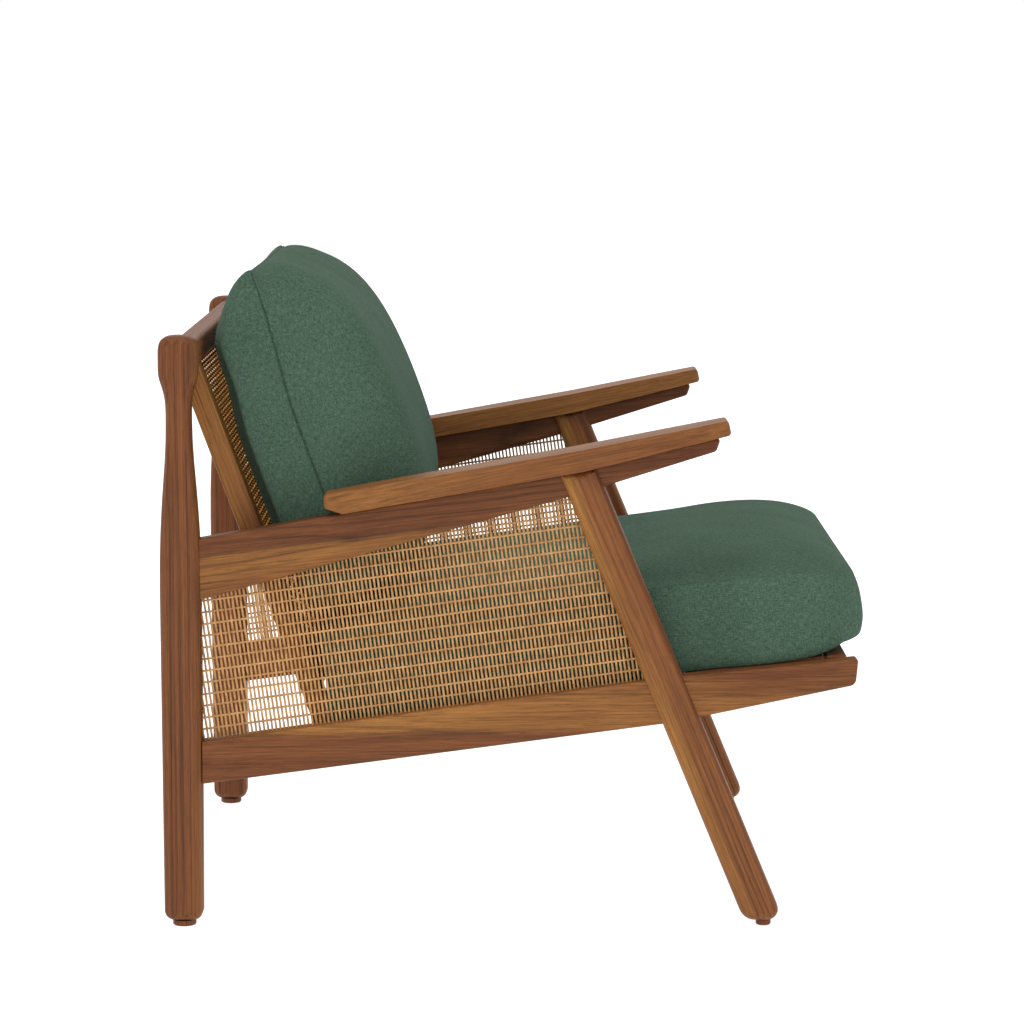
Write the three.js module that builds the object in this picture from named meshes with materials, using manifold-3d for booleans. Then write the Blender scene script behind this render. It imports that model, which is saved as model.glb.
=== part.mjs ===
import * as THREE from 'three';
import { mergeGeometries, mergeVertices } from 'three/addons/utils/BufferGeometryUtils.js';
import Module from 'manifold-3d';

// A low lounge chair: two joined side frames with cane panels, a reclined cane back and loose cushions.
// Millimetres. +X is the way the chair faces, +Y is the sitter's left, +Z is up.

const wasm = await Module();
wasm.setup();

// Joints and clearances
const gap = 0.3;
const overrun = 4;
const tenonThickness = 11;
const tenonShoulder = 9;
const tenonDepth = 22;
const stubTenonDepth = 10;
const grooveDepth = 5;
const softEdge = 3;

// Middle plane of each side frame
const sidePlaneY = 353;

// Rear leg, upright, with a waisted neck and a rounded head
const rearLegX = -389;
const rearLegThickness = 38;
const rearLegEdge = 10;
const rearLegTop = 702;
const headHalf = 23.3;
const headTopRise = 22;
const headStraight = 18;
const neckHalf = 14.8;
const neckStraight = 12;
const neckLevel = 600;
const shaftHalf = 24;
const shaftLevel = 400;
const ankleHalf = 22.8;
const rearFootRadius = 12;

// Front leg, raked, foot forward
const frontLegThickness = 38;
const frontLegEdge = 10;
const frontLegWidth = 47;
const frontLegRearX = 83.3;
const frontLegRearZ = 472.8;
const frontLegRake = 0.4127;
const frontFootRearRadius = 20;
const frontFootFrontRadius = 13;

// Foot glides, turned discs on a stem
const rearGlideRadius = 14;
const frontGlideRadius = 9;
const glideHeight = 7;
const glideStemRadius = 4;
const glideStemLength = 14;
const glideEdge = 1.5;
const glideSides = 24;

// Side rails
const railThickness = 24;
const seatRailRearTop = 223;
const seatRailRearBottom = 171.5;
const seatRailKneeTop = 300;
const seatRailKneeBottom = 245;
const seatRailFrontTop = 322;
const seatRailFrontBottom = 290;
const seatRailFrontX = 408;
const seatRailCornerRadius = 9;
const railCornerRadius = 4;
const armRailRearTop = 463.7;
const armRailRearBottom = 391;
const armRailKneeTop = 544.5;
const armRailKneeBottom = 517.6;
const armRailTipTop = 584;
const armRailTipBottom = 566.6;
const armRailTipX = 245;
const armRailTipRadius = 6;

// Armrest
const armrestRearX = -220;
const armrestTipX = 256;
const armrestRearThickness = 26.5;
const armrestKneeThickness = 25.5;
const armrestTipThickness = 17;
const armrestNoseHalf = 20;
const armrestWidestHalf = 31;
const armrestTipHalf = 25;
const armrestCornerRadius = 9;
const noseChamferLength = 22;
const noseChamferRise = 11;
const noseRadius = 6;
const tipRadius = 4;

// Dowels between arm rail and armrest
const dowelRadius = 4;
const dowelLength = 22;
const dowelInset = 60;
const dowelCount = 3;
const dowelSides = 16;

// Back: crest rail, reclined stiles and a lower rail
const recline = 20.3;
const stileThickness = 25;
const stileWidth = 38;
const stileOuterY = 308;
const stileRearX = -237.6;
const stileRearZ = 235.7;
const crestFrontX = -367;
const crestThickness = 29;
const crestTop = 696.5;
const crestHeight = 28;
const crestEdge = 7;
const crestWrap = 4;
const lowerBackRailHeight = 40;
const lowerBackRailLevel = 285;

// Seat cross rails, cleats and slats under the cushion
const crossRailWidth = 30;
const crossRailHeight = 27;
const frontCrossRailWidth = 24;
const frontCrossRailSetback = 12;
const rearCrossRailDrop = 24;
const slatCount = 6;
const slatWidth = 60;
const slatThickness = 12;
const slatDrop = 4;
const cleatSize = 18;
const cleatLip = 10;

// Cane
const caneThickness = 3;
const caneBorder = 7;
const sideCaneColumns = 22;
const sideCaneRows = 4;
const backCaneColumns = 5;
const backCaneRows = 19;
const caneBar = 5;

// Seat cushion
const legClearance = 1;
const seatCushionFrontX = 416;
const seatBoxing = 106;
const seatCrown = 29;
const seatFrontFall = 15;
const seatHem = 9;
const seatCornerRadius = 46;
const seatSideBulge = 5;

// Back cushion, measured square to the reclined back
const backCushionSideGap = 10;
const backCushionTopRise = 398;
const backSeamRear = 20;
const backSeamFront = 98;
const backFrontCrown = 118;
const backTopFall = 80;
const backCornerRadius = 60;
const backTopCrown = 12;
const cushionRest = 0.4;
const settleReach = 60;

const edgeSteps = 3;
const flatBend = 0.003;
const sharpBend = 0.34;
const arcSteps = 6;
const curveSteps = 8;

const degrees = THREE.MathUtils.degToRad;

// Materials as photographed
const teak = { color: 0x96602f, roughness: 0.55, metalness: 0 };
const darkTeak = { color: 0x7a4a26, roughness: 0.6, metalness: 0 };
const cane = { color: 0xcf9a66, roughness: 0.6, metalness: 0 };
const cloth = { color: 0x4c6a58, roughness: 0.95, metalness: 0 };

const chair = new THREE.Group();

function addPiece(parent, name, geometry, finish) {
  const mesh = new THREE.Mesh(geometry, new THREE.MeshStandardMaterial(finish));
  mesh.name = name;
  parent.add(mesh);
  return mesh;
}

// Solids
function toSolid(geometry) {
  const bare = geometry.clone();
  bare.deleteAttribute('normal');
  if (bare.hasAttribute('uv')) {
    bare.deleteAttribute('uv');
  }
  const merged = mergeVertices(bare);
  const index = merged.index.array;
  return new wasm.Manifold(new wasm.Mesh({
    numProp: 3,
    vertProperties: new Float32Array(merged.attributes.position.array),
    triVerts: new Uint32Array(index),
  }));
}

function indexed(positions, index) {
  const geometry = new THREE.BufferGeometry();
  geometry.setAttribute('position', new THREE.Float32BufferAttribute(positions, 3));
  geometry.setIndex(index);
  geometry.computeVertexNormals();
  return geometry;
}

function toGeometry(solid) {
  const mesh = solid.getMesh();
  return indexed([...mesh.vertProperties], [...mesh.triVerts]);
}

function cut(geometry, ...cutters) {
  let solid = toSolid(geometry);
  for (const cutter of cutters) {
    solid = solid.subtract(toSolid(cutter));
  }
  return toGeometry(solid);
}

function join(geometry, ...others) {
  let solid = toSolid(geometry);
  for (const other of others) {
    solid = solid.add(toSolid(other));
  }
  return toGeometry(solid);
}

function overlap(geometry, other) {
  return toGeometry(toSolid(geometry).intersect(toSolid(other)));
}

function moved(geometry, x, y, z) {
  return geometry.clone().translate(x, y, z);
}

// Outlines run anticlockwise as points of the X-Z side view
function point(x, z) {
  return new THREE.Vector2(x, z);
}

function grown(points, amount) {
  return points.map((here, i) => {
    const before = points[(i + points.length - 1) % points.length];
    const after = points[(i + 1) % points.length];
    const inward = here.clone().sub(before).normalize();
    const outward = after.clone().sub(here).normalize();
    const first = point(inward.y, -inward.x);
    const second = point(outward.y, -outward.x);
    const reach = amount / (1 + first.dot(second));
    return here.clone().addScaledVector(first.add(second), reach);
  });
}

function rounded(corners) {
  const outline = [];
  corners.forEach(([x, z, radius = 0], i) => {
    const here = point(x, z);
    if (radius === 0) {
      outline.push(here);
      return;
    }
    const before = corners[(i + corners.length - 1) % corners.length];
    const after = corners[(i + 1) % corners.length];
    const back = point(before[0], before[1]).sub(here).normalize();
    const on = point(after[0], after[1]).sub(here).normalize();
    const half = Math.acos(THREE.MathUtils.clamp(back.dot(on), -1, 1)) / 2;
    const reach = radius / Math.tan(half);
    const start = here.clone().addScaledVector(back, reach);
    const middleWay = back.clone().add(on).normalize();
    const centre = here.clone().addScaledVector(middleWay, radius / Math.sin(half));
    const turn = Math.PI - 2 * half;
    for (let k = 0; k <= arcSteps; k += 1) {
      outline.push(start.clone().rotateAround(centre, turn * k / arcSteps));
    }
  });
  return outline;
}

// How far each corner of an outline can move inwards before a tight convex bend folds over
function insetLimits(points, edge) {
  const bendShare = 0.85;
  const spread = 0.7;
  const count = points.length;
  const limits = points.map((here, i) => {
    const before = points[(i + count - 1) % count];
    const after = points[(i + 1) % count];
    const sides = [here.distanceTo(before), here.distanceTo(after), after.distanceTo(before)];
    const area = THREE.ShapeUtils.area([before, here, after]);
    const square = sides[0] * sides[1];
    if (area < square * flatBend) {
      return edge;
    }
    const smooth = sides[0] * sides[1] * sides[2] / (4 * area);
    const sharp = area > square * sharpBend;
    return sharp ? edge : Math.min(edge, smooth * bendShare);
  });
  for (let pass = 0; pass < 2 * count; pass += 1) {
    const i = pass % count;
    const j = (i + 1) % count;
    const step = points[i].distanceTo(points[j]) * spread;
    limits[j] = Math.min(limits[j], limits[i] + step);
  }
  for (let pass = 2 * count - 1; pass >= 0; pass -= 1) {
    const i = pass % count;
    const j = (i + 1) % count;
    const step = points[i].distanceTo(points[j]) * spread;
    limits[i] = Math.min(limits[i], limits[j] + step);
  }
  return limits;
}

// A plate whose outline lies in the X-Z plane, centred on Y = 0, with rounded long edges
function plate(outline, thickness, edge = 0) {
  const limits = insetLimits(outline, edge);
  const inner = grown(outline, -1).map((p, i) => p.sub(outline[i]));
  const steps = edge > 0 ? edgeSteps : 0;
  const rings = [];
  for (let k = 0; k <= steps; k += 1) {
    const turn = steps > 0 ? (k / steps) * Math.PI / 2 : 0;
    const inset = 1 - Math.sin(turn);
    const y = thickness / 2 - edge * (1 - Math.cos(turn));
    const drawnIn = outline.map((p, i) => p.clone().addScaledVector(inner[i], limits[i] * inset));
    rings.push({ y: -y, points: drawnIn });
  }
  const whole = [...rings, ...rings.slice().reverse().map((ring) => ({ ...ring, y: -ring.y }))];
  const count = outline.length;
  const positions = whole.flatMap((ring) => ring.points.flatMap((p) => [p.x, ring.y, p.y]));
  const index = [];
  const far = (whole.length - 1) * count;
  THREE.ShapeUtils.triangulateShape(rings[0].points, []).forEach(([i, j, k]) => {
    index.push(i, j, k, far + i, far + k, far + j);
  });
  for (let ring = 0; ring + 1 < whole.length; ring += 1) {
    for (let i = 0; i < count; i += 1) {
      const here = ring * count + i;
      const next = ring * count + (i + 1) % count;
      index.push(here, here + count, next, next, here + count, next + count);
    }
  }
  return indexed(positions, index);
}

function block(xMin, xMax, yMin, yMax, zMin, zMax) {
  const geometry = new THREE.BoxGeometry(xMax - xMin, yMax - yMin, zMax - zMin);
  return geometry.translate((xMin + xMax) / 2, (yMin + yMax) / 2, (zMin + zMax) / 2);
}

function along(from, to, x) {
  return from[1] + (to[1] - from[1]) * (x - from[0]) / (to[0] - from[0]);
}

// Where the straight line a-b crosses the straight line c-d
function crossing(a, b, c, d) {
  const first = [b[0] - a[0], b[1] - a[1]];
  const second = [d[0] - c[0], d[1] - c[1]];
  const turn = first[0] * second[1] - first[1] * second[0];
  const t = ((c[0] - a[0]) * second[1] - (c[1] - a[1]) * second[0]) / turn;
  return [a[0] + first[0] * t, a[1] + first[1] * t];
}

// Front leg: its two long edges
function frontLegRearAt(z) {
  return frontLegRearX - frontLegRake * (z - frontLegRearZ);
}

function frontLegFrontAt(z) {
  return frontLegRearAt(z) + frontLegWidth;
}

const railStartX = rearLegX + shaftHalf;
const seatKneeX = frontLegRearAt((seatRailKneeTop + seatRailKneeBottom) / 2) + frontLegWidth / 2;
const armKneeX = frontLegRearAt((armRailKneeTop + armRailKneeBottom) / 2) + frontLegWidth / 2;

const seatLine = {
  rear: [railStartX, seatRailRearTop],
  knee: [seatKneeX, seatRailKneeTop],
  front: [seatRailFrontX, seatRailFrontTop],
};
const armLine = {
  rear: [railStartX, armRailRearTop],
  knee: [armKneeX, armRailKneeTop],
  tip: [armRailTipX, armRailTipTop],
};
const armUnderLine = {
  rear: [railStartX, armRailRearBottom],
  knee: [armKneeX, armRailKneeBottom],
};

function seatRailTopAt(x) {
  if (x < seatKneeX) {
    return along(seatLine.rear, seatLine.knee, x);
  }
  return along(seatLine.knee, seatLine.front, x);
}

function armRailTopAt(x) {
  if (x < armKneeX) {
    return along(armLine.rear, armLine.knee, x);
  }
  return along(armLine.knee, armLine.tip, x);
}

// Rear leg
function rearLegOutline() {
  const headBase = rearLegTop - headTopRise - headStraight;
  const headTop = rearLegTop - headTopRise;
  const waist = neckLevel - shaftLevel;
  const upper = headBase - neckLevel - neckStraight;
  const soleZ = glideHeight + gap;
  const footTop = soleZ + rearFootRadius;
  const headShares = [0.77, 0.82];
  const flareShares = [0.6, 0.35];
  const waistShares = [0.55, 0.3];
  const side = new THREE.Path();
  side.absarc(ankleHalf - rearFootRadius, footTop, rearFootRadius, -Math.PI / 2, 0);
  side.lineTo(shaftHalf, (footTop + shaftLevel) / 2);
  side.lineTo(shaftHalf, shaftLevel);
  side.bezierCurveTo(
    shaftHalf, shaftLevel + waist * waistShares[0],
    neckHalf, neckLevel - waist * waistShares[1],
    neckHalf, neckLevel,
  );
  side.lineTo(neckHalf, neckLevel + neckStraight);
  side.bezierCurveTo(
    neckHalf, neckLevel + neckStraight + upper * flareShares[0],
    headHalf, headBase - upper * flareShares[1],
    headHalf, headBase,
  );
  side.lineTo(headHalf, headTop);
  side.bezierCurveTo(
    headHalf, headTop + headTopRise * headShares[0],
    headHalf * headShares[1], rearLegTop,
    0, rearLegTop,
  );
  const right = side.getPoints(curveSteps);
  const left = right.slice(0, -1).reverse().map((p) => point(-p.x, p.y));
  return [...right, ...left].map((p) => point(p.x + rearLegX, p.y));
}

function rearLegSolid(growth = 0) {
  return plate(grown(rearLegOutline(), growth), rearLegThickness + 2 * growth, rearLegEdge);
}

// Front leg
function frontLegOutline() {
  const soleZ = glideHeight + gap;
  const rearEdge = [[frontLegRearAt(soleZ), soleZ], [frontLegRearX, frontLegRearZ]];
  const frontEdge = rearEdge.map(([x, z]) => [x + frontLegWidth, z]);
  const topRear = crossing(...rearEdge, armLine.rear, armLine.knee);
  const topFront = crossing(...frontEdge, armLine.knee, armLine.tip);
  return rounded([
    [...rearEdge[0], frontFootRearRadius],
    [...frontEdge[0], frontFootFrontRadius],
    topFront,
    armLine.knee,
    topRear,
  ]);
}

// Rails, each sawn from one plank and passing through the front leg
function seatRailOutline(startX) {
  const rearTop = along(seatLine.rear, seatLine.knee, startX);
  const bottomRear = [railStartX, seatRailRearBottom];
  const bottomKnee = [seatKneeX, seatRailKneeBottom];
  return rounded([
    [startX, along(bottomRear, bottomKnee, startX)],
    bottomKnee,
    [seatRailFrontX - softEdge, seatRailFrontBottom, seatRailCornerRadius],
    [seatRailFrontX, seatRailFrontTop, railCornerRadius],
    seatLine.knee,
    [startX, rearTop],
  ]);
}

function armRailOutline(startX) {
  return rounded([
    [startX, along(armUnderLine.rear, armUnderLine.knee, startX)],
    armUnderLine.knee,
    [armRailTipX - armRailTipRadius, armRailTipBottom, armRailTipRadius],
    [armRailTipX, armRailTipTop, railCornerRadius],
    armLine.knee,
    [startX, along(armLine.rear, armLine.knee, startX)],
  ]);
}

function railTenon(bottomZ, topZ, growth = 0) {
  return block(
    railStartX - tenonDepth - growth, railStartX + overrun,
    -tenonThickness / 2 - growth, tenonThickness / 2 + growth,
    bottomZ + tenonShoulder - growth, topZ - tenonShoulder + growth,
  );
}

// Side cane panel, seated in grooves in both legs and both rails
function sideCaneCorners() {
  const rearEdge = [
    [frontLegRearAt(seatRailKneeBottom), seatRailKneeBottom],
    [frontLegRearX, frontLegRearZ],
  ];
  const lowerFront = crossing(...rearEdge, seatLine.rear, seatLine.knee);
  const upperFront = crossing(...rearEdge, armUnderLine.rear, armUnderLine.knee);
  return [seatLine.rear, lowerFront, upperFront, armUnderLine.rear].map(([x, z]) => point(x, z));
}

// The part of a convex outline on the inner side of every edge of a convex field
function clipped(outline, field) {
  let kept = outline;
  field.forEach((a, i) => {
    const b = field[(i + 1) % field.length];
    const side = (p) => (b.x - a.x) * (p.y - a.y) - (b.y - a.y) * (p.x - a.x);
    const next = [];
    kept.forEach((p, j) => {
      const q = kept[(j + 1) % kept.length];
      const here = side(p);
      const there = side(q);
      if (here >= 0) {
        next.push(p);
      }
      if (here * there < 0) {
        next.push(p.clone().lerp(q, here / (here - there)));
      }
    });
    kept = next;
  });
  return kept;
}

// A flat net: bars left between openings that follow the weave's own slope
function caneNet(outline, field, columns, rows, slope) {
  const turn = Math.atan(slope);
  const origin = point(0, 0);
  const level = field.map((p) => p.clone().rotateAround(origin, -turn));
  const low = point(Math.min(...level.map((p) => p.x)), Math.min(...level.map((p) => p.y)));
  const high = point(Math.max(...level.map((p) => p.x)), Math.max(...level.map((p) => p.y)));
  const pitchX = (high.x - low.x) / columns;
  const pitchZ = (high.y - low.y) / rows;
  const smallest = caneBar * caneBar;
  const openings = [];
  for (let column = 0; column < columns; column += 1) {
    for (let row = 0; row < rows; row += 1) {
      const left = low.x + column * pitchX + caneBar / 2;
      const bottom = low.y + row * pitchZ + caneBar / 2;
      const right = left + pitchX - caneBar;
      const top = bottom + pitchZ - caneBar;
      const cell = [point(left, bottom), point(right, bottom), point(right, top), point(left, top)];
      const opening = clipped(cell.map((p) => p.rotateAround(origin, turn)), field);
      if (opening.length > 2 && THREE.ShapeUtils.area(opening) > smallest) {
        openings.push(plate(opening, caneThickness + overrun));
      }
    }
  }
  return cut(plate(outline, caneThickness), mergeGeometries(openings));
}

// Armrest: the side view met with the plan
function armrestSolid() {
  const under = (x) => armRailTopAt(x) + gap;
  const noseZ = under(armrestRearX);
  const side = rounded([
    [armrestRearX + noseChamferLength, under(armrestRearX + noseChamferLength)],
    [armKneeX, under(armKneeX)],
    [armrestTipX, under(armrestTipX), tipRadius],
    [armrestTipX - tipRadius, under(armrestTipX) + armrestTipThickness, tipRadius],
    [armKneeX, under(armKneeX) + armrestKneeThickness],
    [armrestRearX, noseZ + armrestRearThickness, noseRadius],
    [armrestRearX, noseZ + noseChamferRise, softEdge],
  ]);
  const middleX = armKneeX;
  const plan = new THREE.Path();
  plan.moveTo(armrestRearX, 0);
  plan.lineTo(armrestRearX, armrestNoseHalf - armrestCornerRadius);
  plan.quadraticCurveTo(
    armrestRearX, armrestNoseHalf,
    armrestRearX + armrestCornerRadius, armrestNoseHalf,
  );
  plan.quadraticCurveTo((armrestRearX + middleX) / 2, armrestWidestHalf, middleX, armrestWidestHalf);
  plan.quadraticCurveTo(
    (armrestTipX + middleX) / 2, armrestWidestHalf,
    armrestTipX - armrestCornerRadius, armrestTipHalf,
  );
  plan.quadraticCurveTo(armrestTipX, armrestTipHalf, armrestTipX, armrestTipHalf - armrestCornerRadius);
  plan.lineTo(armrestTipX, 0);
  const half = plan.getPoints(arcSteps);
  const inner = half.slice(1, -1).reverse().map((p) => point(p.x, -p.y));
  const outline = [...half, ...inner].reverse();
  const lowZ = noseZ - overrun;
  const highZ = under(armrestTipX) + armrestRearThickness;
  const board = new THREE.ExtrudeGeometry(new THREE.Shape(outline), {
    depth: highZ - lowZ,
    bevelEnabled: false,
  });
  board.translate(0, 0, lowZ);
  return overlap(plate(side, 2 * armrestWidestHalf + overrun), board);
}

function dowelPlaces() {
  const first = armrestRearX + dowelInset;
  const last = armrestTipX - dowelInset;
  const places = [];
  for (let i = 0; i < dowelCount; i += 1) {
    places.push(first + (last - first) * i / (dowelCount - 1));
  }
  return places;
}

function dowelSolid(x, growth = 0) {
  const length = dowelLength + 2 * growth;
  const radius = dowelRadius + growth;
  const geometry = new THREE.CylinderGeometry(radius, radius, length, dowelSides);
  return geometry.rotateX(Math.PI / 2).translate(x, 0, armRailTopAt(x) + gap / 2);
}

// Foot glide with its stem
function glideSolid(radius, growth = 0) {
  const profile = [
    point(0, 0),
    point(radius - glideEdge, 0),
    point(radius, glideEdge),
    point(radius, glideHeight),
    point(glideStemRadius + growth, glideHeight),
    point(glideStemRadius + growth, glideHeight + glideStemLength + growth),
    point(0, glideHeight + glideStemLength + growth),
  ];
  return new THREE.LatheGeometry(profile, glideSides).rotateX(Math.PI / 2);
}

// Side frame pieces, drawn in their own middle plane
const seatTenonHeights = [
  along([railStartX, seatRailRearBottom], [seatKneeX, seatRailKneeBottom], railStartX),
  seatRailRearTop,
];
const armTenonHeights = [armRailRearBottom, armRailRearTop];
const railInsideLegX = railStartX - overrun;
const seatRailBlank = plate(seatRailOutline(railInsideLegX), railThickness, softEdge);
const armRailBlank = plate(armRailOutline(railInsideLegX), railThickness, softEdge);
const seatRailCutter = plate(
  grown(seatRailOutline(railInsideLegX), gap), railThickness + 2 * gap, softEdge,
);
const armRailCutter = plate(
  grown(armRailOutline(railInsideLegX), gap), railThickness + 2 * gap, softEdge,
);

const sideField = sideCaneCorners();
const sidePanel = grown(sideField, grooveDepth - gap);
const sideGroove = plate(grown(sideField, grooveDepth), caneThickness + 2 * gap);

const dowelHoles = dowelPlaces().map((x) => dowelSolid(x, gap));
const rearGlideHole = moved(glideSolid(rearGlideRadius, gap), rearLegX, 0, 0);
const frontGlideX = frontLegRearAt(glideHeight) + frontLegWidth / 2;
const frontGlideHole = moved(glideSolid(frontGlideRadius, gap), frontGlideX, 0, 0);

// Back: the reclined plane that the stiles stand in
const reclineAngle = degrees(recline);
const backFrame = new THREE.Matrix4().makeRotationY(-reclineAngle);
backFrame.setPosition(stileRearX, 0, stileRearZ);
const crestBottom = crestTop - crestHeight;
const seatSlope = (seatRailKneeTop - seatRailRearTop) / (seatKneeX - railStartX);
const seatPitch = Math.atan(seatSlope);
const stileCentreX = stileRearX + stileThickness / (2 * Math.cos(reclineAngle));
const rearCrossTop = seatRailTopAt(stileCentreX) - rearCrossRailDrop;
const stileFootShift = (rearCrossTop - stileRearZ) * Math.tan(reclineAngle);
const rearCrossX = stileCentreX - stileFootShift;

function inBackFrame(geometry) {
  return geometry.clone().applyMatrix4(backFrame);
}

// Rails that cross from side to side, with stub tenons in the seat rails
const crossHalfLength = sidePlaneY - railThickness / 2 - gap;

function crossBar(x, topZ, width, height, growth = 0) {
  const outline = grown([
    point(x - width / 2, topZ - height),
    point(x + width / 2, topZ - height),
    point(x + width / 2, topZ),
    point(x - width / 2, topZ),
  ], growth);
  return plate(outline, 2 * crossHalfLength, softEdge);
}

function crossTenons(x, topZ, height, growth = 0) {
  const half = tenonThickness / 2 + growth;
  const reach = crossHalfLength + stubTenonDepth + growth;
  const shoulder = (height - tenonThickness) / 2 - growth;
  return block(x - half, x + half, -reach, reach, topZ - height + shoulder, topZ - shoulder);
}

const frontCrossX = seatRailFrontX - frontCrossRailSetback - frontCrossRailWidth / 2;
const frontCrossTop = seatRailTopAt(frontCrossX - frontCrossRailWidth / 2);
const frontSlatTop = seatRailRearTop - slatDrop / Math.cos(seatPitch)
  + (frontCrossX - frontCrossRailWidth / 2 - railStartX) * seatSlope;
const frontCrossRise = frontSlatTop - frontCrossTop;
const frontCrossTenons = crossTenons(frontCrossX, frontCrossTop, crossRailHeight);
const frontCrossHoles = crossTenons(frontCrossX, frontCrossTop, crossRailHeight, gap);
const rearCrossTenons = crossTenons(rearCrossX, rearCrossTop, crossRailHeight);
const rearCrossHoles = crossTenons(rearCrossX, rearCrossTop, crossRailHeight, gap);

// Crest rail, scribed to the rounded heads of the rear legs
const headInnerY = sidePlaneY - rearLegThickness / 2;
const crestMiddleX = crestFrontX - crestThickness / 2;
const crestMiddleZ = crestTop - crestHeight / 2;

function crestSolid(growth = 0) {
  const outline = rounded([
    [crestFrontX - crestThickness, crestBottom, softEdge],
    [crestFrontX, crestBottom, softEdge],
    [crestFrontX, crestTop, crestEdge],
    [crestFrontX - crestThickness, crestTop, crestEdge],
  ]);
  return plate(grown(outline, growth), 2 * (headInnerY + crestWrap));
}

function crestTenons(growth = 0) {
  const half = tenonThickness / 2 + growth;
  const reach = headInnerY + stubTenonDepth + growth;
  return block(
    crestMiddleX - half, crestMiddleX + half,
    -reach, reach,
    crestMiddleZ - half, crestMiddleZ + half,
  );
}

function stileBlank() {
  const foot = (rearCrossTop - overrun - stileRearZ) / Math.cos(reclineAngle);
  const head = (crestBottom + overrun - stileRearZ) / Math.cos(reclineAngle);
  const lean = stileThickness * Math.tan(reclineAngle);
  const outline = [
    point(0, foot),
    point(stileThickness, foot - lean),
    point(stileThickness, head - lean),
    point(0, head),
  ];
  return plate(outline, stileWidth, softEdge);
}

function stileTenons(growth = 0) {
  const reach = stubTenonDepth + growth;
  const half = tenonThickness / 2 + growth;
  const middle = stileThickness / 2;
  const cosine = Math.cos(reclineAngle);
  const lean = middle * Math.tan(reclineAngle);
  const foot = (rearCrossTop - stileRearZ) / cosine - lean;
  const head = (crestBottom - stileRearZ) / cosine - lean;
  return block(
    middle - half, middle + half,
    -tenonThickness - growth, tenonThickness + growth,
    foot - reach, head + reach,
  );
}

const stileMiddleY = stileOuterY - stileWidth / 2;
const crestCutter = crestSolid(gap);
const rearCrossCutter = crossBar(rearCrossX, rearCrossTop, crossRailWidth, crossRailHeight, gap);
const stileHoles = [-1, 1].map((side) => (
  inBackFrame(moved(stileTenons(gap), 0, side * stileMiddleY, 0))
));

// Back cane field between stiles, crest and lower rail, in the reclined frame
const backInnerY = stileOuterY - stileWidth;
const lowerRailTop = (lowerBackRailLevel + lowerBackRailHeight / 2 - stileRearZ) / Math.cos(reclineAngle);
const lowerRailBottom = lowerRailTop - lowerBackRailHeight;
const caneDepth = stileThickness / 2;
const backFieldTop = (crestBottom - stileRearZ) / Math.cos(reclineAngle)
  - caneDepth * Math.tan(reclineAngle);

function backCaneOutline(growth) {
  return grown([
    point(-backInnerY, lowerRailTop),
    point(backInnerY, lowerRailTop),
    point(backInnerY, backFieldTop),
    point(-backInnerY, backFieldTop),
  ], growth);
}

// Turns a net drawn in the X-Z plane to span Y, at the middle of the stiles
function acrossBack(geometry) {
  return geometry.rotateZ(Math.PI / 2).translate(caneDepth, 0, 0);
}

const backGroove = acrossBack(plate(backCaneOutline(grooveDepth), caneThickness + 2 * gap));

// Legs
for (const [side, name] of [[-1, 'right'], [1, 'left']]) {
  const plane = new THREE.Group();
  plane.position.y = side * sidePlaneY;
  chair.add(plane);
  const crestHole = moved(crestTenons(gap), 0, -side * sidePlaneY, 0);
  const rearLeg = cut(
    rearLegSolid(),
    railTenon(...seatTenonHeights, gap),
    railTenon(...armTenonHeights, gap),
    sideGroove,
    crestHole,
    rearGlideHole,
  );
  addPiece(plane, `${name}_rear_leg`, rearLeg, teak);
  const frontLeg = cut(
    plate(frontLegOutline(), frontLegThickness, frontLegEdge),
    seatRailCutter,
    armRailCutter,
    sideGroove,
    frontGlideHole,
  );
  addPiece(plane, `${name}_front_leg`, frontLeg, teak);
  const rearGlide = addPiece(plane, `${name}_rear_foot_glide`, glideSolid(rearGlideRadius), darkTeak);
  rearGlide.position.x = rearLegX;
  const frontGlide = addPiece(plane, `${name}_front_foot_glide`, glideSolid(frontGlideRadius), darkTeak);
  frontGlide.position.x = frontGlideX;

  const crossHoles = [frontCrossHoles, rearCrossHoles];
  const seatRail = cut(
    seatRailBlank,
    rearLegSolid(gap),
    sideGroove,
    ...crossHoles.map((hole) => moved(hole, 0, -side * sidePlaneY, 0)),
  );
  const seatRailWhole = join(seatRail, railTenon(...seatTenonHeights));
  addPiece(plane, `${name}_seat_rail`, seatRailWhole, teak);
  const armRail = cut(armRailBlank, rearLegSolid(gap), sideGroove, ...dowelHoles);
  addPiece(plane, `${name}_arm_rail`, join(armRail, railTenon(...armTenonHeights)), teak);

  addPiece(plane, `${name}_armrest`, cut(armrestSolid(), ...dowelHoles), teak);
  dowelPlaces().forEach((x, i) => {
    addPiece(plane, `${name}_armrest_dowel_${i + 1}`, dowelSolid(x), darkTeak);
  });
  const net = caneNet(sidePanel, grown(sideField, -caneBorder), sideCaneColumns, sideCaneRows, seatSlope);
  addPiece(plane, `${name}_side_cane`, net, cane);
}

// Cross rails and crest rail
const frontCrossRail = join(
  crossBar(
    frontCrossX, frontCrossTop + frontCrossRise,
    frontCrossRailWidth, crossRailHeight + frontCrossRise,
  ),
  frontCrossTenons,
);
addPiece(chair, 'front_cross_rail', frontCrossRail, teak);
const rearCrossRail = join(
  crossBar(rearCrossX, rearCrossTop, crossRailWidth, crossRailHeight),
  rearCrossTenons,
);
addPiece(chair, 'rear_cross_rail', cut(rearCrossRail, ...stileHoles), teak);
const legsGrown = [-1, 1].map((side) => moved(rearLegSolid(gap), 0, side * sidePlaneY, 0));
const crestRail = join(cut(crestSolid(), ...legsGrown), crestTenons());
addPiece(chair, 'crest_rail', cut(crestRail, ...stileHoles, inBackFrame(backGroove)), teak);

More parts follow.
